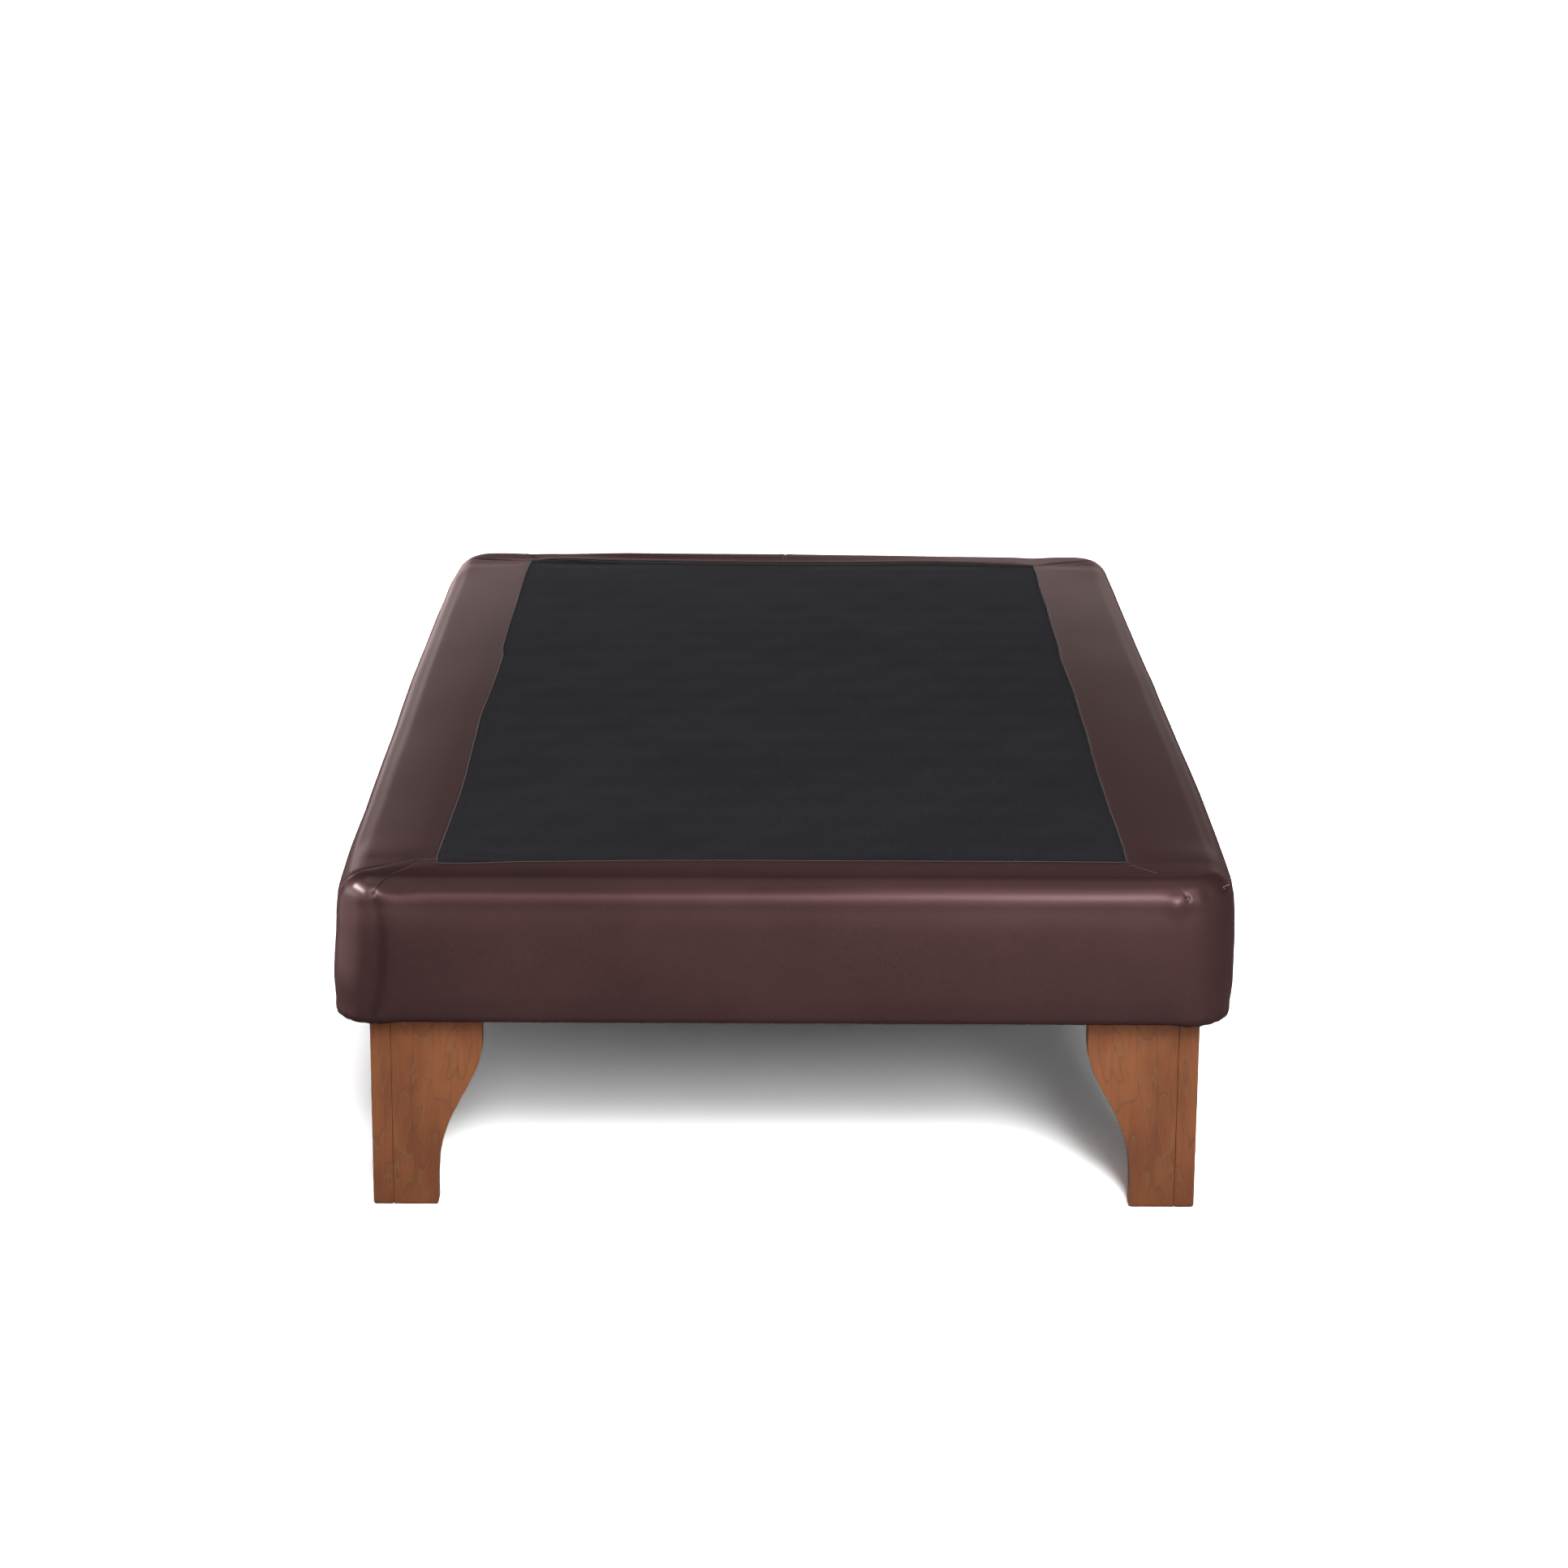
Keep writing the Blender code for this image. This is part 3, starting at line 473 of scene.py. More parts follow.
def fuller(grid):
    """The padding's fullness at the sides, the head end and the lower edge."""
    x, y, z = np.moveaxis(grid, -1, 0).copy()
    high = ramp(z, 0.27, 0.35)
    bulge = np.where(x < 0, eased(BULGE_LEFT, y), eased(BULGE_RIGHT, y)) * high
    bulge += LOW_SIDE_BULGE * ramp(abs(y), 0.86, 0.66) * (1 - high)
    corner = np.where(x < 0, table(CORNER_BULGE_LEFT, z), table(CORNER_BULGE_RIGHT, z))
    bulge += corner * ramp(y, -0.55, -0.75)
    shift = bulge * ramp(abs(x), 0.44, 0.495) * ramp(abs(NORMALS[:, 0]), 0, 0.7)
    grid[..., :2] += shift[..., None] * NORMALS
    seam_y = PANEL_HEAD_Y + eased(SEAM_HEAD, x)
    raised = ramp(y - seam_y, 0.003, 0.043) * ramp(z, 0.33, 0.4)
    grid[..., 2] += eased(HEAD_RISE, x) * raised
    inset = np.concatenate([np.full(MARGIN_ROWS, 0.05), PROFILE[:, 0]])[:, None]
    low = ramp(z, 0.262, 0.242) * ramp(inset, 0.0225, 0.0135)
    grid[..., 2] -= BOTTOM_SAG * low * (1 - 0.5 * ramp(abs(x), 0.45, 0.51))
    return grid


def groove(points, path, depths, width):
    """A sewn line or crease: a narrow groove whose depth changes along its path."""
    distance, place = to_path(points, rounded(path))
    return along_list(place, mm(*depths)) * bell(distance, mm(width))


def band_relief(points):
    """How far each point of the band moves out along its normal."""
    x, y, z = np.moveaxis(points, -1, 0)
    depth = TOP_Z - z
    down = depth / (TOP_Z - UNDER_Z)
    on_side = ramp(down, 0, 0.25) * ramp(down, 1, 0.88)
    on_top = ramp(down, 0.05, 0)
    relief = SIDE_WAVE * waves(points, SIDE_WAVE_LENGTH, 3) * on_side
    relief += FINE_WAVE * waves(points, FINE_WAVE_LENGTH, 8) * on_side
    from_seam = np.minimum(
        abs(PANEL_X - abs(x)), np.minimum(abs(y + PANEL_FOOT_Y), abs(y - PANEL_HEAD_Y))
    )
    crown = CROWN + CROWN_WAVE * waves(points, CROWN_WAVE_LENGTH, 5)
    crown *= 1 - 0.8 * ramp(y, -0.8, -0.87)
    relief += crown * on_top * ramp(from_seam, 0, 0.035)
    outward = np.clip((abs(x) - PANEL_X) / 0.086, 0, 1.2)
    relief -= SIDE_MARGIN_FALL * outward**2 * on_top * ramp(abs(y), 0.9, 0.74)
    forward = np.clip((-y - PANEL_FOOT_Y) / 0.05, 0, 1.2)
    fall = FOOT_MARGIN_FALL + FOOT_MARGIN_FALL_LEFT * ramp(x, 0.25, -0.4)
    relief -= fall * forward**2 * ramp(down, 0.1, 0) * ramp(abs(x), 0.5, 0.45)
    upper_face = ramp(depth, 0.058, 0.024) * ramp(depth, 0, 0.014)
    relief -= UPPER_FACE_FALL * upper_face * ramp(-NORMALS[:, 1], 0.5, 0.9)
    turned_in = ramp(z, 0.27, 0.236) * ramp(y, -0.9, -0.94)
    relief -= LOWER_FACE_FALL * turned_in * ramp(abs(x), 0.475, 0.445)
    relief -= sum(groove(points, *row) for row in GROOVES)
    relief -= sum(mm(depth) * round_bell(points, at, mm(width)) for at, depth, width in DENTS)
    relief += LOBE_HEIGHT * round_bell(points, LOBE, LOBE_WIDTH, LOBE_STRETCH)
    valley, place = to_path(points, FOOT_LEFT_VALLEY)
    relief -= np.interp(place, *VALLEY_DEPTHS) * bell(valley, VALLEY_WIDTH)
    middle = abs(x - HEAD_MIDDLE_X)
    join = 0.0004 * bell(middle - 0.006, 0.005) - 0.001 * bell(middle, 0.0019)
    return relief + join * ramp(y, PANEL_HEAD_Y, PANEL_HEAD_Y + 0.01)


def bottom_pleats(points):
    """Small gathers round the bottom of each corner, where the hem turns under."""
    x, y, z = np.moveaxis(points, -1, 0)
    angle = np.arctan2(abs(y) - (HALF_Y - CORNER_RADIUS), abs(x) - (HALF_X - CORNER_RADIUS))
    in_corner = ramp(angle, 0, 0.25) * ramp(angle, QUARTER, QUARTER - 0.25)
    low = ramp(z, UNDER_Z + 0.022, UNDER_Z + 0.002)
    ripple = np.sin(angle * 22) + 0.5 * np.sin(angle * 37 + 1.1)
    return PLEAT_HEIGHT * in_corner * low * ripple


def painted_crease_shade(points):
    """Painted shade on the leatherette: darker in the deep crease, in the dimple and round the
    lower edge, where shade falls.
    """
    distance, place = to_path(points, FOOT_LEFT_VALLEY)
    depth = np.interp(place, (0, 0.25, 0.6, 1), (0.75, 0.5, 0.45, 0.25))
    shade = depth * bell(distance, np.interp(place, (0, 0.4, 1), (0.004, 0.008, 0.008)))
    shade = np.maximum(shade, 0.6 * round_bell(points, DIMPLE, 0.0035))
    return np.maximum(shade, 0.55 * ramp(points[..., 2], UNDER_Z + 0.014, UNDER_Z - 0.002))


def taut_shine(points):
    """Where the leatherette is stretched: on the puff and beside the dimple."""
    puff = round_bell(points, LOBE, 0.013, (0.6, 1, 1))
    return np.clip(puff + 0.25 * round_bell(points, DIMPLE_BULGE, 0.0065), 0, 1)


PLAIN = plain_band()
PLAIN_NORMALS = normals_of(PLAIN)
RELIEF = band_relief(PLAIN) + bottom_pleats(PLAIN)
BAND = PLAIN + RELIEF[..., None] * PLAIN_NORMALS
BAND_FACES = grid_faces(*BAND.shape[:2])
BAND_TREE = BVHTree.FromPolygons(BAND.reshape(-1, 3).tolist(), BAND_FACES)


def store(item, name, values):
    """Keep one number for each point of a mesh, for its material to read."""
    layer = item.data.attributes.new(name, "FLOAT", "POINT")
    layer.data.foreach_set("value", values.ravel().astype("f"))


def make_band():
    band = mesh_object("leatherette_band", BAND, BAND_FACES, LEATHERETTE)
    # The painted shade, kept as one number per point for the material
    store(band, "crease", painted_crease_shade(BAND))
    store(band, "shine", taut_shine(BAND))
    thicken(band, COVER_THICK)
    declare(band, "cover_band")


# Thin sewn details on the band


def on_band(point):
    """The band's surface point nearest to this one, and its outward normal."""
    place, normal, _, _ = BAND_TREE.find_nearest(Vector(point))
    return np.array(place), np.array(normal)


def circle(middle, across, up, sides):
    """Points round a middle; both directions are as long as the radius."""
    turns = np.arange(sides)[:, None] * math.tau / sides
    return middle + np.cos(turns) * across + np.sin(turns) * up


def make_tubes(name, tubes, material, joined=False):
    """One piece of many tubes, each a list of rings, with capped or joined ends."""
    points, faces = [], []
    for rings in tubes:
        faces += tube_faces(len(rings), len(rings[0]), len(points), joined)
        points += np.reshape(rings, (-1, 3)).tolist()
    piece = mesh_object(name, points, faces, material)
    declare(piece)
    return piece


def stitch(place, along, normal):
    """Rings of a short thread that dips into the cover at both ends."""
    across = np.cross(normal, along)
    rings = []
    for share, lift, size in STITCH_RINGS:
        middle = place + along * STITCH_LENGTH * share + normal * STITCH_RADIUS * lift
        radius = size * STITCH_RADIUS
        rings.append(circle(middle, across * radius, normal * radius, STITCH_SIDES))
    return rings


def make_stitches(corner, *paths):
    tubes = []
    for path in paths:
        places = [on_band(point) for point in spaced(path, STITCH_PITCH)]
        for number, (place, normal) in enumerate(places):
            before = places[max(number - 1, 0)][0]
            after = places[min(number + 1, len(places) - 1)][0]
            along = after - before
            along -= (along @ normal) * normal
            tubes.append(stitch(place, along / norm(along), normal))
    make_tubes(f"stitches_{corner}", tubes, THREAD)


def make_ridges(name, material, *items):
    """Tapered ridges on the band; an item is a path, a lift and radii."""
    tubes = []
    for path, lift, *radii in items:
        middles, normals = zip(*(on_band(point) for point in spaced(path, RIDGE_PITCH)))
        along = np.gradient(middles, axis=0)
        along /= norm(along, axis=1, keepdims=True)
        rings = []
        sizes = along_list(np.linspace(0, 1, len(middles)), mm(*radii))
        for middle, normal, way, size in zip(middles, normals, along, sizes):
            up = normal * size
            rings.append(circle(middle + lift * up, np.cross(up, way), up, RIDGE_SIDES))
        tubes.append(rings)
    make_tubes(name, tubes, material)


def seam_outline(step=0.006):
    """Points round the panel's sewn outline, anticlockwise."""
    kept, run = [], step
    for point, after in zip(BAND[0], np.roll(BAND[0], -1, axis=0)):
        if run >= step:
            kept.append(point)
            run = 0.0
        run += norm(after - point)
    return np.array(kept)


def cord(path, width, height, joined=False):
    """Rings of a flat oval cord along a path that lies about level."""
    if joined:
        along = np.roll(path, -1, axis=0) - np.roll(path, 1, axis=0)
    else:
        along = np.gradient(path, axis=0)
    along[:, 2] = 0
    along /= norm(along, axis=1, keepdims=True)
    up = np.array((0, 0, height / 2))
    return [
        circle(point, np.array((-way[1], way[0], 0)) * width / 2, up, 8)
        for point, way in zip(path, along)
    ]


def make_panel_edges():
    """The band's turned edge round the panel, coloured lighter as a painted highlight, and the
    cloth's hem at the head end.
    """
    outline = seam_outline()
    outline[:, 2] = TOP_Z + 0.0001
    edge = cord(outline, 0.0017, 0.0011, joined=True)
    # The turned edge is real; its lighter colour is a painted highlight along the fold
    make_tubes("panel_turned_edge", [edge], PAINTED_EDGE_HIGHLIGHT, joined=True)
    x = np.linspace(-PANEL_X + 0.004, PANEL_X - 0.003, 130)
    y = PANEL_HEAD_Y + eased(HEM_LINE_HEAD, x) - 0.001
    hem = np.stack([x, y, cloth_height(x, y) + 0.0003], axis=1)
    make_tubes("panel_head_hem", [cord(hem, 0.0022, 0.0012)], HEM_EDGE)


# The black cloth on top


def cloth_height(x, y):
    """The cloth's upper face: taut, a little uneven, and raised along its hem."""
    points = np.stack([x, y, np.zeros_like(x)], axis=-1)
    from_edge = np.minimum(PANEL_X - abs(x), np.minimum(y + PANEL_FOOT_Y, PANEL_HEAD_Y - y))
    inside = ramp(from_edge, 0, 0.05)
    height = 0.0009 * inside * waves(points * (1, 0.6, 1), 0.22, 11)
    height += 0.0005 * inside * waves(points, 0.09, 12)
    for path, size, width in CLOTH_FOLDS:
        distance, place = to_path(points[..., :2], path)
        height += size * bell(distance, width) * np.sin(math.pi * place) ** 0.5
    hem = PANEL_HEAD_Y + eased(HEM_LINE_HEAD, x)
    height += 0.0007 * bell(y - hem, 0.005)
    return TOP_Z - 0.0004 + 0.001 * inside + height


def make_top_cloth():
    columns, rows = 93, 190
    x, y = np.meshgrid(
        np.linspace(-PANEL_X, PANEL_X, columns), np.linspace(PANEL_HEAD_Y, -PANEL_FOOT_Y, rows)
    )
    x, y = np.moveaxis(np.stack([x, y], axis=-1) + seam_warp(x, y), -1, 0)
    upper = np.dstack([x, y, cloth_height(x, y)])
    cloth = mesh_object("black_top_cloth", upper, grid_faces(rows, columns, closed=False), CLOTH)
    thicken(cloth, CLOTH_THICK)
    declare(cloth, "cover_top_panel")


# Foam inside the cover

FOAM_INSET = COVER_THICK + 2 * GAP
STRIP_LOW, FOAM_SPLIT_Z = (corner.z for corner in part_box("foam_foot_strip"))
FOAM_TOP_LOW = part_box("foam_top_sheet")[0].z


def foam_surface():
    """The foam's outer face, just inside the band's deepest creases nearby."""
    lowest = RELIEF.copy()
    for row_step in range(-4, 5):
        rows = np.clip(np.arange(len(RELIEF)) + row_step, 0, len(RELIEF) - 1)
        for station_step in range(-5, 6):
            lowest = np.minimum(lowest, np.roll(RELIEF[rows], station_step, axis=1))
    surface = PLAIN + (lowest - FOAM_INSET)[..., None] * PLAIN_NORMALS
    surface[..., 2] = np.maximum(surface[..., 2], STRIP_LOW)
    return surface


def cut_rows(surface, height, above):
    """The part of a surface above or below a height, respaced down each station."""
    rows, count = surface.shape[:2]
    lower = np.argmax(surface[..., 2] < height, axis=0)
    stations = np.arange(count)
    z_upper, z_lower = surface[lower - 1, stations, 2], surface[lower, stations, 2]
    cut = lower - 1 + (z_upper - height) / np.maximum(z_upper - z_lower, 1e-9)
    start, end = (0 * cut, cut) if above else (cut, 0 * cut + rows - 1)
    number = int(round(np.mean(end - start))) + 1
    places = start + (end - start) * np.linspace(0, 1, number)[:, None]
    before = np.minimum(places.astype(int), rows - 2)
    share = (places - before)[..., None]
    return surface[before, stations] * (1 - share) + surface[before + 1, stations] * share


def finish_foam(foam, node):
    declare(foam, node)


def make_foam_top():
    """The pad under the cloth: its face follows the cloth, and its edge the band."""
    rows = cut_rows(foam_surface()[:, ::2], FOAM_TOP_LOW, above=True)
    edge = rows[0, :, :2]
    spine = np.column_stack([0 * edge[:, 0], np.clip(edge[:, 1], -0.48, 0.48)])
    inner = []
    for share in np.linspace(0.97, 0, 34)[:-1]:
        place = edge * (1 - share) + spine * share
        lower = CLOTH_THICK + 0.0004 + 0.0022 * ramp(share, 0.55, 0.9)
        inner.append(at_height(place, cloth_height(*place.T) - lower))
    rows = np.concatenate([np.array(inner), rows])
    foam = mesh_object("foam_top_pad", rows, tube_faces(*rows.shape[:2]), FOAM)
    finish_foam(foam, "foam_top_sheet")


def every_other(count):
    """Every other index, and the last one."""
    return np.unique(np.append(np.arange(0, count, 2), count - 1))


def make_foam_wraps():
    """Foot and head strips round the corners, and side strips between them."""
    hem_start = MARGIN_ROWS + len(PROFILE) - len(HEM_INSETS)
    rows = cut_rows(foam_surface()[:hem_start], FOAM_SPLIT_Z, above=False)
    seam_y = HALF_Y - CORNER_RADIUS - 0.03
    station_y = SKELETON[:, 1] + CORNER_RADIUS * NORMALS[:, 1]
    beside = abs(station_y) <= seam_y
    inner = SKELETON + (CORNER_RADIUS - FRAME_INSET + GAP) * NORMALS
    for name, chosen in (
        ("foot", station_y < -seam_y), ("head", station_y > seam_y),
        ("left", beside & (SKELETON[:, 0] < 0)), ("right", beside & (SKELETON[:, 0] > 0)),
    ):
        run = np.flatnonzero(chosen)
        breaks = np.flatnonzero(np.diff(run) > 1)
        run = np.roll(run, -1 - breaks[0]) if len(breaks) else run
        run = run[every_other(len(run))]
        outer = rows[every_other(len(rows))][:, run]
        heights = (STRIP_LOW, FOAM_SPLIT_Z - 0.004, FOAM_SPLIT_Z)
        sections = np.concatenate([outer, [at_height(inner[run], z) for z in heights]])
        count, columns = sections.shape[:2]
        faces = grid_faces(count, columns, closed=False, joined=True)
        starts = range(0, count * columns, columns)
        faces += [tuple(reversed(starts)), tuple(start + columns - 1 for start in starts)]
        foam = mesh_object(f"foam_{name}_wrap", sections, faces, FOAM)
        foam.data.set_sharp_from_angle(angle=math.radians(40))
        finish_foam(foam, f"foam_{name}_strip")


# The dust cover and its staples


def make_dust_cloth():
    """The cloth stapled under the frame."""
    low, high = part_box("dust_cover")
    columns, rows = 40, 72
    half = np.array(high.xy)
    places = np.meshgrid(
        np.linspace(-half[0], half[0], columns), np.linspace(half[1], -half[1], rows)
    )
    places = np.stack(places, axis=-1)
    radius = CORNER_RADIUS - DUST_MARGIN
    over = np.maximum(abs(places) - (half - radius), 0)
    both = np.maximum(norm(over, axis=-1, keepdims=True), radius)
    places = np.sign(places) * (np.minimum(abs(places), half - radius) + over * radius / both)
    x, y = np.moveaxis(places, -1, 0)
    points = np.dstack([x, y, np.zeros_like(x)])
    from_edge = np.minimum(half[0] - abs(x), half[1] - abs(y))
    at_leg = ramp(abs(x), 0.3, 0.34) * ramp(abs(y), 0.73, 0.77)
    free = ramp(from_edge, 0.012, 0.092) * (1 - at_leg)
    sag = free * (0.0022 * np.cos(x / half[0] * QUARTER) + 0.0007 * (1 + waves(points, 0.15, 21)))
    pucker = (1 - free) * (1 - at_leg) * bell(from_edge - 0.012, 0.01)
    sag += 0.0004 * pucker * (1 + np.sin(np.where(abs(x) > half[0] - 0.03, y, x) * 105))
    points[..., 2] = low.z + DUST_THICK - sag
    cloth = mesh_object("dust_cloth", points, grid_faces(rows, columns, closed=False), DUST_CLOTH)
    cloth.data.flip_normals()
    thicken(cloth, DUST_THICK)
    declare(cloth, "dust_cover")
    make_staples(low.z)


def staple_places():
    """Middle and direction of each staple, round the frame."""
    inset, pitch = DUST_MARGIN + 0.01, 0.058
    places = []
    for side in (-1, 1):
        for x in np.arange(-0.45, 0.451, pitch):
            places.append((x + 0.003 * side, side * (HALF_Y - inset), 0.25))
        for y in np.arange(-0.86, 0.861, pitch):
            places.append((side * (HALF_X - inset), y + 0.004 * side, QUARTER - 0.2))
    return places


def make_staples(cloth_low):
    """Wire staples with a flat crown and two bent-down legs."""
    rng = np.random.default_rng(5)
    crown, wire, leg, bend, sunk = 0.005, 0.0005, 0.0016, 0.0005, 0.0005
    half_path = ((crown, leg), (crown, 0.0004), (crown - bend, 0))
    path = [(-along, up) for along, up in half_path] + list(reversed(half_path))
    section = ((-wire, -wire / 2), (-wire, wire / 2), (wire, wire / 2), (wire, -wire / 2))
    along, up = np.array(path).T[..., None]
    across, thick = np.array(section).T
    on_leg = abs(along) >= crown
    along = along - thick * np.sign(along) * on_leg
    height = cloth_low - sunk + up + thick * ~on_leg
    staples = []
    for x, y, turn in staple_places():
        turn += rng.uniform(-0.2, 0.2)
        local_x = x + along * math.cos(turn) - across * math.sin(turn)
        local_y = y + along * math.sin(turn) + across * math.cos(turn)
        staples.append(np.stack([local_x, local_y, height], axis=-1))
    make_tubes("dust_cloth_staples", staples, STEEL).data.shade_flat()


# Materials


class Graph:
    """A node tree, and short ways to add nodes to it."""

    def __init__(self, tree):
        self.tree = tree

    def add(self, kind, inputs=(), **settings):
        """A new node's outputs, its inputs linked to other outputs or set to values."""
        made = self.tree.nodes.new(f"ShaderNode{kind}")
        for key, value in settings.items():
            setattr(made, key, value)
        for key, value in dict(inputs).items():
            if isinstance(value, bpy.types.NodeSocket):
                self.tree.links.new(value, made.inputs[key])
            else:
                made.inputs[key].default_value = value
        return made.outputs

    def maths(self, operation, first, *others):
        """An operation on one value, or on a first value and each further one in turn."""
        for other in others or [0]:
            first = self.add("Math", {0: first, 1: other}, operation=operation)[0]
        return first

    times = partialmethod(maths, "MULTIPLY")
    plus = partialmethod(maths, "ADD")
    most = partialmethod(maths, "MAXIMUM")

    def spread(self, value, from_low, from_high, to_low=0, to_high=1):
        inputs = {0: value, 1: from_low, 2: from_high, 3: to_low, 4: to_high}
        return self.add("MapRange", inputs)[0]

    def mix(self, share, first, second, how="MIX"):
        first, second = ((*c, 1) if isinstance(c, tuple) else c for c in (first, second))
        inputs = {0: share, 6: first, 7: second}
        return self.add("Mix", inputs, data_type="RGBA", blend_type=how)[2]

    def between(self, value, first, second, low=0.35, high=0.65):
        """A colour that goes from the first to the second while the value goes up."""
        return self.mix(self.spread(value, low, high), first, second)


class Look(Graph):
    """A node material, with constant values on its Principled shader."""

    def __init__(self, name, **constants):
        self.material = bpy.data.materials.new(name)
        self.material.use_nodes = True
        super().__init__(self.material.node_tree)
        self.shader = self.tree.nodes["Principled BSDF"]
        for socket, value in constants.items():
            self.shader.inputs[socket.replace("_", " ")].default_value = value
        self.place = self.add("TexCoord")["Object"]

    def finish(self, colour, *bump, **links):
        """The material, once a colour, a bump and other outputs are linked to its shader."""
        links |= {"Base_Color": colour, "Normal": self.bumped(*bump)}
        for socket, output in links.items():
            self.tree.links.new(output, self.shader.inputs[socket.replace("_", " ")])
        return self.material

    def stretched(self, scale, place=None, location=(0, 0, 0)):
        inputs = {"Vector": place or self.place, "Scale": scale, "Location": location}
        return self.add("Mapping", inputs)[0]

    def noise(self, scale, detail=2, roughness=0.5, distortion=0, place=None):
        inputs = {"Vector": place or self.place, "Scale": scale, "Detail": detail}
        inputs |= {"Roughness": roughness, "Distortion": distortion}
        return self.add("TexNoise", inputs)["Fac"]

    def cells(self, scale, randomness=1, **settings):
        inputs = {"Vector": self.place, "Scale": scale, "Randomness": randomness}
        return self.add("TexVoronoi", inputs, **settings)["Distance"]

    def painted(self, name):
        """The number that the mesh keeps for each point under this name."""
        return self.add("Attribute", attribute_name=name)["Fac"]

    def bumped(self, height, distance, strength, below=None):
        inputs = {"Height": height, "Distance": distance, "Strength": strength}
        return self.add("Bump", inputs | ({"Normal": below} if below else {}))[0]


def make_leatherette():
    look = Look(
        "coated_leatherette", Metallic=0.45, Specular_IOR_Level=0,
        Specular_Tint=(1, 0.7, 0.69, 1), Coat_Roughness=0.25,
    )
    patches = look.noise(7, 4, 0.55)
    grain = look.noise(620, 3, 0.6)
    pores = look.cells(900, feature="SMOOTH_F1")
    tone = look.plus(look.times(patches, 0.75), look.times(grain, 0.25))
    colour = look.between(tone, (0.087, 0.0424, 0.043), (0.103, 0.0502, 0.0508), 0.36, 0.64)
    fine = look.bumped(grain, 0.00012, 0.55)
    return look.finish(
        # Painted shade: the colour turns darker where the mesh keeps its painted crease shade
        look.mix(look.painted("crease"), colour, (0.022, 0.0105, 0.0108)),
        pores, 0.0001, 0.35, fine,
        Roughness=look.spread(look.plus(patches, grain), 0.7, 1.3, 0.43, 0.51),
        Coat_Weight=look.spread(look.painted("shine"), 0, 1, 0.11, 0.9),
    )


def make_cloth():
    """Brushed black cloth: a fine weave, a fuzzy sheen and specks of lint."""
    look = Look(
        "black_woven_cloth", Roughness=0.95, Specular_IOR_Level=0.08, Sheen_Weight=0.07,
        Sheen_Roughness=0.45, Sheen_Tint=(0.72, 0.7, 0.86, 1),
    )
    wave = {"Vector": look.place, "Scale": 210, "Distortion": 1.6, "Detail": 2, "Detail Scale": 2}
    weave = look.times(*(look.add("TexWave", wave, bands_direction=way)["Fac"] for way in "XY"))
    fuzz = look.noise(420, 4, 0.7)
    patches = look.noise(5, 4, 0.6)
    tone = look.plus(look.times(fuzz, 0.6), look.times(patches, 0.4))
    colour = look.between(tone, (0.0151, 0.0137, 0.0172), (0.0254, 0.023, 0.0282))
    near = look.maths("LESS_THAN", look.cells(190), 0.16)
    scattered = look.noise(9, place=look.stretched((9, 9, 9)))
    lint = look.times(near, look.maths("GREATER_THAN", scattered, 0.52), 0.1)
    height = look.plus(look.times(weave, 0.6), fuzz)
    return look.finish(look.mix(lint, colour, (0.3, 0.27, 0.29)), height, 0.00025, 0.8)


def make_thread(name, dark, light, roughness=0.6):
    look = Look(name, Roughness=roughness, Specular_IOR_Level=0.2)
    fibres = look.noise(1500)
    return look.finish(look.mix(fibres, dark, light), fibres, 0.0001, 0.6)


def make_leg_wood():
    """Stained hardwood: straight grain with a flame figure of contour lines."""
    look = Look(
        "stained_leg_wood", Specular_IOR_Level=0.35, Coat_Weight=0.12, Coat_Roughness=0.35
    )
    x, y, z = look.add("SeparateXYZ", {0: look.place})
    sides = {0: look.maths("ABSOLUTE", x), 1: look.maths("ABSOLUTE", y), 2: z}
    folded = look.add("CombineXYZ", sides)[0]
    broad = look.noise(1, 3, 0.55, 0.35, look.stretched((15, 15, 3.2), folded, (0.37, 0.2, 0.1)))
    bands = look.maths("FRACT", look.times(broad, 9))
    line = look.times(look.spread(bands, 0.9, 0.985), look.spread(bands, 1, 0.985))
    edge = look.times(look.spread(bands, 0.72, 0.9), look.spread(bands, 0.93, 0.9, 0, 0.35))
    fibres = look.noise(1100, 2, 0.6, place=look.stretched((1, 1, 0.035), folded))
    streaks = look.noise(210, 3, 0.6, place=look.stretched((1, 1, 0.05), folded))
    patches = look.noise(26, 3, 0.5, place=look.stretched((1, 1, 0.35), folded))
    colour = look.between(patches, (0.33, 0.098, 0.034), (0.47, 0.155, 0.055))
    for share, tone in (
        (look.spread(streaks, 0.5, 0.72, 0, 0.34), (0.21, 0.074, 0.03)),
        (look.times(line, 0.62), (0.33, 0.165, 0.085)),
        (edge, (0.165, 0.064, 0.03)),
        (look.spread(fibres, 0.4, 0.7, 0, 0.22), (0.52, 0.215, 0.09)),
    ):
        colour = look.mix(share, colour, tone)
    # Darker towards the floor; and painted light across the legs: the left leg lighter and the
    # right darker, as the light falls on them
    by_height = look.spread(z, 0, 0.235, 0.84, 1.06)
    shade = look.times(by_height, look.spread(x, -0.45, 0.45, 1.03, 0.88))
    height_tone_and_painted_light = look.add("CombineColor", {0: shade, 1: shade, 2: shade})[0]
    height = look.plus(fibres, look.times(line, 0.6))
    return look.finish(
        look.mix(1, colour, height_tone_and_painted_light, "MULTIPLY"),
        height, 0.00015, 0.6,
        Roughness=look.spread(fibres, 0.3, 0.7, 0.42, 0.56),
    )


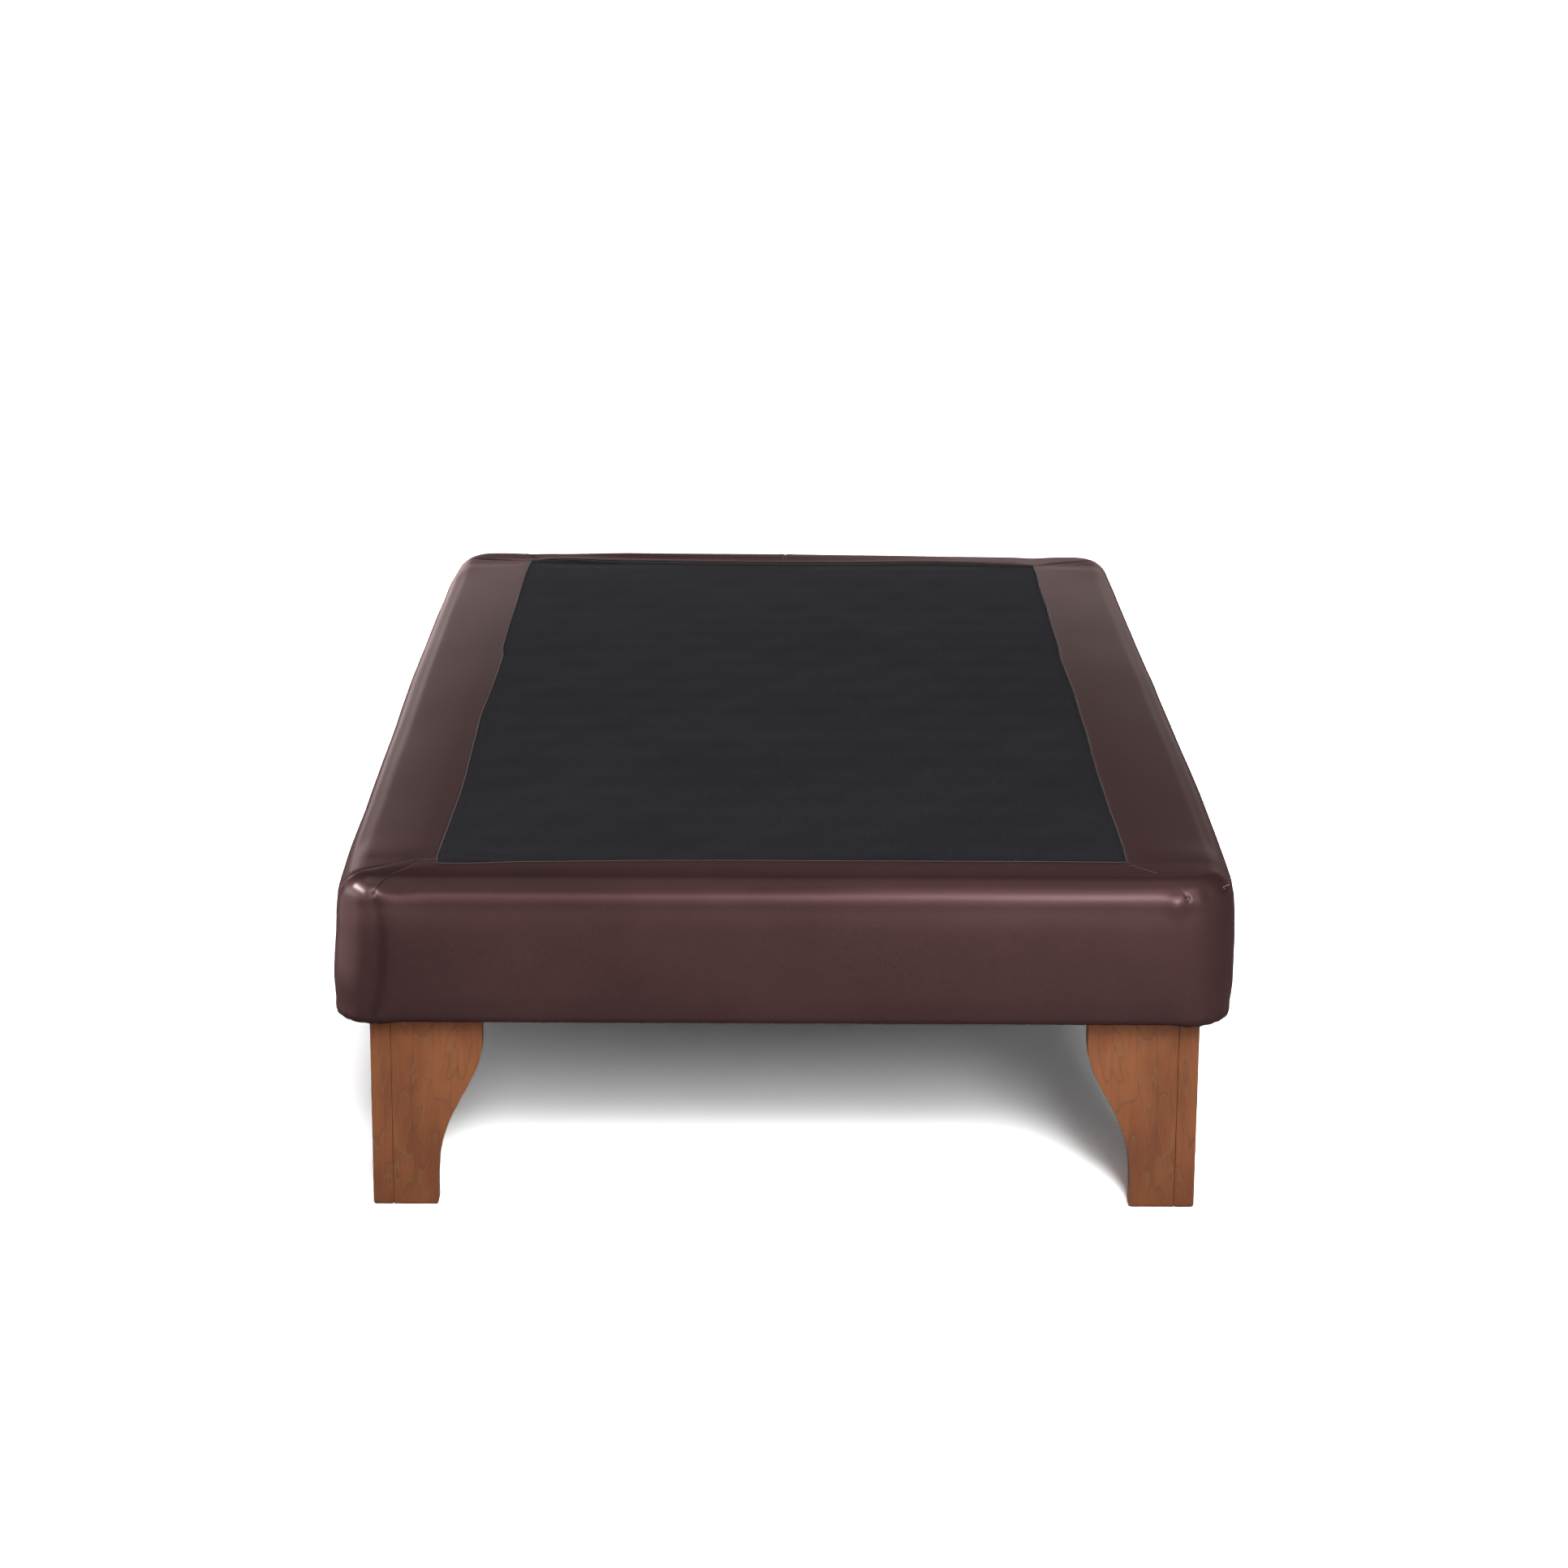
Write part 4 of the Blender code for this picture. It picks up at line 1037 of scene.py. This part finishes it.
def make_timber(name, axis, light=(0.66, 0.47, 0.27), dark=(0.52, 0.31, 0.14), rings=42):
    """Plain sawn timber with its grain along one axis."""
    look = Look(name, Specular_IOR_Level=0.3)
    stretch = [1, 1, 1]
    stretch[axis] = 0.045
    place = look.stretched(stretch)
    bands = look.maths("FRACT", look.times(look.noise(rings, 3, 0.55, 0.6, place), 7))
    fibres = look.noise(700, 3, 0.6, place=place)
    colour = look.mix(look.spread(bands, 0.2, 1, 0, 0.8), light, dark)
    fibre_colour = tuple(0.72 * part for part in dark)
    return look.finish(
        look.mix(look.spread(fibres, 0.5, 0.75, 0, 0.4), colour, fibre_colour),
        fibres, 0.0003, 0.7,
        Roughness=look.spread(fibres, 0.3, 0.7, 0.55, 0.75),
    )


def make_hardboard():
    look = Look("pressed_hardboard", Specular_IOR_Level=0.3)
    fibres = look.noise(320, 5, 0.7, 1.2)
    flecks = look.noise(60, 4, 0.6, place=look.stretched((1, 0.4, 1)))
    tone = look.times(look.plus(fibres, flecks), 0.5)
    return look.finish(
        look.between(tone, (0.135, 0.075, 0.04), (0.235, 0.14, 0.078)),
        fibres, 0.0002, 0.6,
        Roughness=look.spread(fibres, 0.3, 0.7, 0.6, 0.8),
    )


def make_foam_material():
    look = Look("open_cell_foam", Roughness=0.92, Specular_IOR_Level=0.1)
    cells = look.cells(620)
    colour = look.mix(look.noise(14, 3), (0.78, 0.69, 0.42), (0.84, 0.78, 0.55))
    return look.finish(
        look.mix(look.spread(cells, 0.1, 0.6, 0.45, 0), colour, (0.42, 0.34, 0.18)),
        cells, 0.0006, 0.8,
    )


def make_dust_material():
    """Spun black non-woven cloth with rows of small pressed dots."""
    look = Look("spun_dust_cloth", Roughness=0.85, Sheen_Weight=0.15)
    dots = look.cells(420, randomness=0.15)
    strands = look.noise(500, 4, 0.7, 1.5)
    height = look.plus(strands, look.spread(dots, 0.1, 0.4))
    colour = look.between(strands, (0.009, 0.009, 0.01), (0.021, 0.021, 0.023))
    return look.finish(colour, height, 0.0002, 0.7)


def make_steel():
    look = Look("zinc_plated_steel", Metallic=1)
    spangle = look.noise(180, 3, 0.6)
    scratches = look.noise(1400, place=look.stretched((1, 0.08, 1)))
    return look.finish(
        look.mix(spangle, (0.52, 0.53, 0.54), (0.66, 0.67, 0.67)),
        scratches, 0.00005, 0.5,
        Roughness=look.spread(scratches, 0.3, 0.7, 0.26, 0.42),
    )


LEATHERETTE = make_leatherette()
CLOTH = make_cloth()
THREAD = make_thread("seam_thread", (0.17, 0.105, 0.1), (0.29, 0.2, 0.19))
# Painted highlight: the turned edge coloured lighter than the leatherette, for the light caught
# along its fold
PAINTED_EDGE_HIGHLIGHT = make_thread("turned_edge_painted_highlight", (0.12, 0.092, 0.084), (0.17, 0.132, 0.12))
HEM_EDGE = make_thread("cloth_hem_edge", (0.07, 0.07, 0.07), (0.115, 0.115, 0.112))
# Painted shade: a near-black colour for strips that stand in for the shade inside the seam gaps
PAINTED_SEAM_SHADE = make_thread("painted_shade_seam_gap", (0.016, 0.0085, 0.0085), (0.028, 0.015, 0.015), 0.95)
# Painted highlight: a pale leatherette colour for the small folds, standing in for the glints on
# them
FOLD_PAINTED_HIGHLIGHT = make_thread("fold_painted_highlight", (0.26, 0.185, 0.185), (0.4, 0.3, 0.3), 0.35)
LEG_WOOD = make_leg_wood()
PINE_X, PINE_Y, PINE_Z = (make_timber(f"pine_along_{way}", "xyz".index(way)) for way in "xyz")
BEECH = make_timber("beech_dowel_wood", 2, (0.6, 0.4, 0.24), (0.5, 0.31, 0.17), 90)
HARDBOARD = make_hardboard()
FOAM = make_foam_material()
DUST_CLOTH = make_dust_material()
STEEL = make_steel()

NODE_MATERIALS = (
    (LEG_WOOD, "leg_side_board", "leg_end_board"),
    (STEEL, "leg_bolt", "leg_washer", "leg_tee_nut"),
    (PINE_X, "corner_block", "end_rail", "slat"),
    (PINE_Y, "side_rail", "centre_rail"),
    (PINE_Z, "leg_block", "corner_post"),
    (BEECH, "leg_dowel"),
    (HARDBOARD, "hardboard_deck"),
)


def dress_cad_nodes():
    for name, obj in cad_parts.items():
        for material, *starts in NODE_MATERIALS:
            if name.startswith(tuple(starts)):
                obj.data.materials.clear()
                obj.data.materials.append(material)


# Floor, light and camera


def bare_graph(owner):
    owner.use_nodes = True
    owner.node_tree.nodes.clear()
    return Graph(owner.node_tree)


def make_floor(reach=60.0):
    """A floor that is seen and mirrored as white, and gives back half of other light."""
    corners = np.array(((-1, -1, 0), (1, -1, 0), (1, 1, 0), (-1, 1, 0))) * reach
    material = bpy.data.materials.new("pale_floor")
    graph = bare_graph(material)
    paths = graph.add("LightPath")
    seen = graph.most(*(paths[f"Is {kind} Ray"] for kind in ("Camera", "Glossy", "Transmission")))
    plain, bright, brighter = (
        graph.add("BsdfDiffuse", {"Color": (grey, grey, grey, 1)})[0] for grey in (0.5, 1, 0.92)
    )
    for _ in range(3):
        brighter = graph.add("AddShader", {0: brighter, 1: brighter})[0]
    shown = graph.add("MixShader", {0: paths["Is Camera Ray"], 1: bright, 2: brighter})[0]
    both = graph.add("MixShader", {0: seen, 1: plain, 2: shown})[0]
    graph.add("OutputMaterial", {"Surface": both})
    floor = mesh_object("floor", corners, [(0, 1, 2, 3)], material)


def new_lamp(name, kind, power):
    """A light and its object."""
    light = bpy.data.lights.new(name, kind)
    light.energy = power
    return light, link(bpy.data.objects.new(name, light))


def sun(name, azimuth, elevation, strength, angle):
    """A soft sun from this azimuth, 0 at the foot end and 90 at the right."""
    light, lamp = new_lamp(name, "SUN", strength)
    light.angle = math.radians(angle)
    lamp.rotation_euler = (math.radians(90 - elevation), 0, math.radians(azimuth))


def softbox(name, place, target, size, power):
    """A rectangular studio lamp that faces a target."""
    light, lamp = new_lamp(name, "AREA", power)
    light.shape = "RECTANGLE"
    light.size, light.size_y = size
    lamp.location = place
    aim = Vector(target) - Vector(place)
    lamp.rotation_euler = aim.to_track_quat("-Z", "Y").to_euler()
    lamp.visible_camera = False
    return lamp


def make_world():
    """Even soft light, and a white backdrop low behind the bed where it is mirrored."""
    world = bpy.data.worlds.new("studio")
    bpy.context.scene.world = world
    sky = bare_graph(world)
    spread, times = sky.spread, sky.times
    paths = sky.add("LightPath")
    x, y, z = sky.add("SeparateXYZ", {0: sky.add("TexCoord")["Generated"]})
    darker = times(spread(z, 0.16, 0.28), spread(x, -0.02, 0.1, 0, 0.75))
    backdrop = times(
        spread(z, 0.2, 0.38, 1, 0.01),
        sky.maths("SUBTRACT", 1, darker),
        spread(y, -0.3, 0.3, 0.7, 0.3),
    )
    horizon = times(spread(z, 0, 0.12, 1, 0), spread(x, -0.15, 0.1, 1, 0.85))
    left = times(spread(x, -0.92, -0.66, 4, 0), spread(z, 0.16, 0.34, 1, 0))
    beside = times(
        spread(times(x, x), 0.002, 0.022),
        spread(x, -0.02, 0.02, 1.9, 0.9),
        spread(z, 0.1, 0.25, 1, 0),
        spread(y, 0.6, 0.9),
    )
    mirrored = times(sky.most(backdrop, horizon, left, beside), paths["Is Glossy Ray"])
    strength = sky.most(
        paths["Is Camera Ray"], paths["Is Transmission Ray"], mirrored,
        times(paths["Is Diffuse Ray"], 0.02),
    )
    background = sky.add("Background", {"Color": (1, 1, 1, 1), "Strength": strength})[0]
    sky.add("OutputWorld", {"Surface": background})


def make_camera():
    data = bpy.data.cameras.new("camera")
    data.lens, data.sensor_width, data.clip_end = CAMERA_LENS, CAMERA_SENSOR, 200
    camera = link(bpy.data.objects.new("camera", data))
    camera.matrix_world = (
        Matrix.Translation(CAMERA_PLACE)
        @ Matrix.Rotation(-CAMERA_YAW, 4, "Z")
        @ Matrix.Rotation(QUARTER - CAMERA_PITCH, 4, "X")
        @ Matrix.Rotation(-CAMERA_ROLL, 4, "Z")
    )
    bpy.context.scene.camera = camera


dress_cad_nodes()
make_foam_top()
make_foam_wraps()
make_band()
make_top_cloth()
make_panel_edges()
make_dust_cloth()
make_stitches("foot_left", FOOT_LEFT_STEM, FOOT_LEFT_UPPER[:8], FOOT_LEFT_LOWER[:6])
make_stitches("foot_right", FOOT_RIGHT_LINE)
make_stitches("head_left", HEAD_LEFT_OUTER, HEAD_LEFT_INNER)
make_stitches("head_right", HEAD_RIGHT_OUTER)
middle_join = BAND[:-8, 2].copy()
middle_join[:, 0] = HEAD_MIDDLE_X - 0.0028
make_stitches("head_middle", middle_join)
# Near-black strips sunk along the seams: painted shade in the seam gaps
make_ridges(
    "painted_shade_seam_lines", PAINTED_SEAM_SHADE,
    (FOOT_LEFT_UPPER, 0, 0.1, 0.1, 0.12, 0.2, 0.3, 0.3, 0.1),
    (FOOT_LEFT_LOWER, 0, 0.1, 0.1, 0.2, 0.3, 0.5, 0.6, 0.1),
    *((path, -0.1, 0.1, 0.3, 0.5, 0.1) for path in HEAD_SEAMS),
)
# Small folds and puckers, coloured pale as painted highlights where they catch the light
make_ridges(
    "painted_highlight_folds", FOLD_PAINTED_HIGHLIGHT,
    (FOOT_RIGHT_LINE, 0.3, 0.1, 0.2, 0.2, 0.1),
    (DIMPLE_FOLD, 0.3, 0.1, 0.2, 0.3, 0.2),
    (DIMPLE_HOOK, 0.3, 0.1, 0.4, 0.4, 0.1),
    (PUCKER_LONG, 0.3, 0.2, 0.7, 0.8, 0.3),
    (PUCKER_SHORT, 0.3, 0.3, 0.6, 0.2),
    (FOOT_LEFT_UPPER[7:], 0.8, 0.1, 0.3, 0.1),
)
make_floor()
make_world()
sun("front_low_sun", 8, 26, 0.37, 16)
sun("front_high_sun", 8, 37, 0.4, 16)
sun("top_sun", 180, 78, 0.32, 40)
softbox("front_box", (0.45, -1.9, 0.45), (0.35, -0.95, 0.3), (0.55, 0.45), 0.7)
softbox("high_box", (0.66, -2.3, 1.6), (0.42, -0.95, 0.38), (0.8, 0.8), 18)
softbox("back_bar", (0, 1.7, 0.6), (0, 0.6, 0.5), (2.4, 0.3), 3.2)
# Lamps that show only as highlights
for name, place, target, size, power in (
    ("roll_glint", (0.66, -2.3, 1.7), (0.42, -0.95, 0.38), (0.7, 0.9), 14),
    ("corner_glint", (-1.25, -1.3, 1.05), (-0.49, -0.93, 0.4), (1.4, 0.28), 28),
    ("left_glow", (-1.5, -0.8, 0.16), (-0.5, -0.93, 0.32), (1.5, 0.28), 3.4),
    ("back_left_glow", (-1.1, 1.95, 0.5), (-0.5, 0, 0.4), (0.7, 0.35), 2.8),
):
    softbox(name, place, target, size, power).visible_diffuse = False
make_camera()
bpy.context.scene.view_settings.view_transform = "Standard"
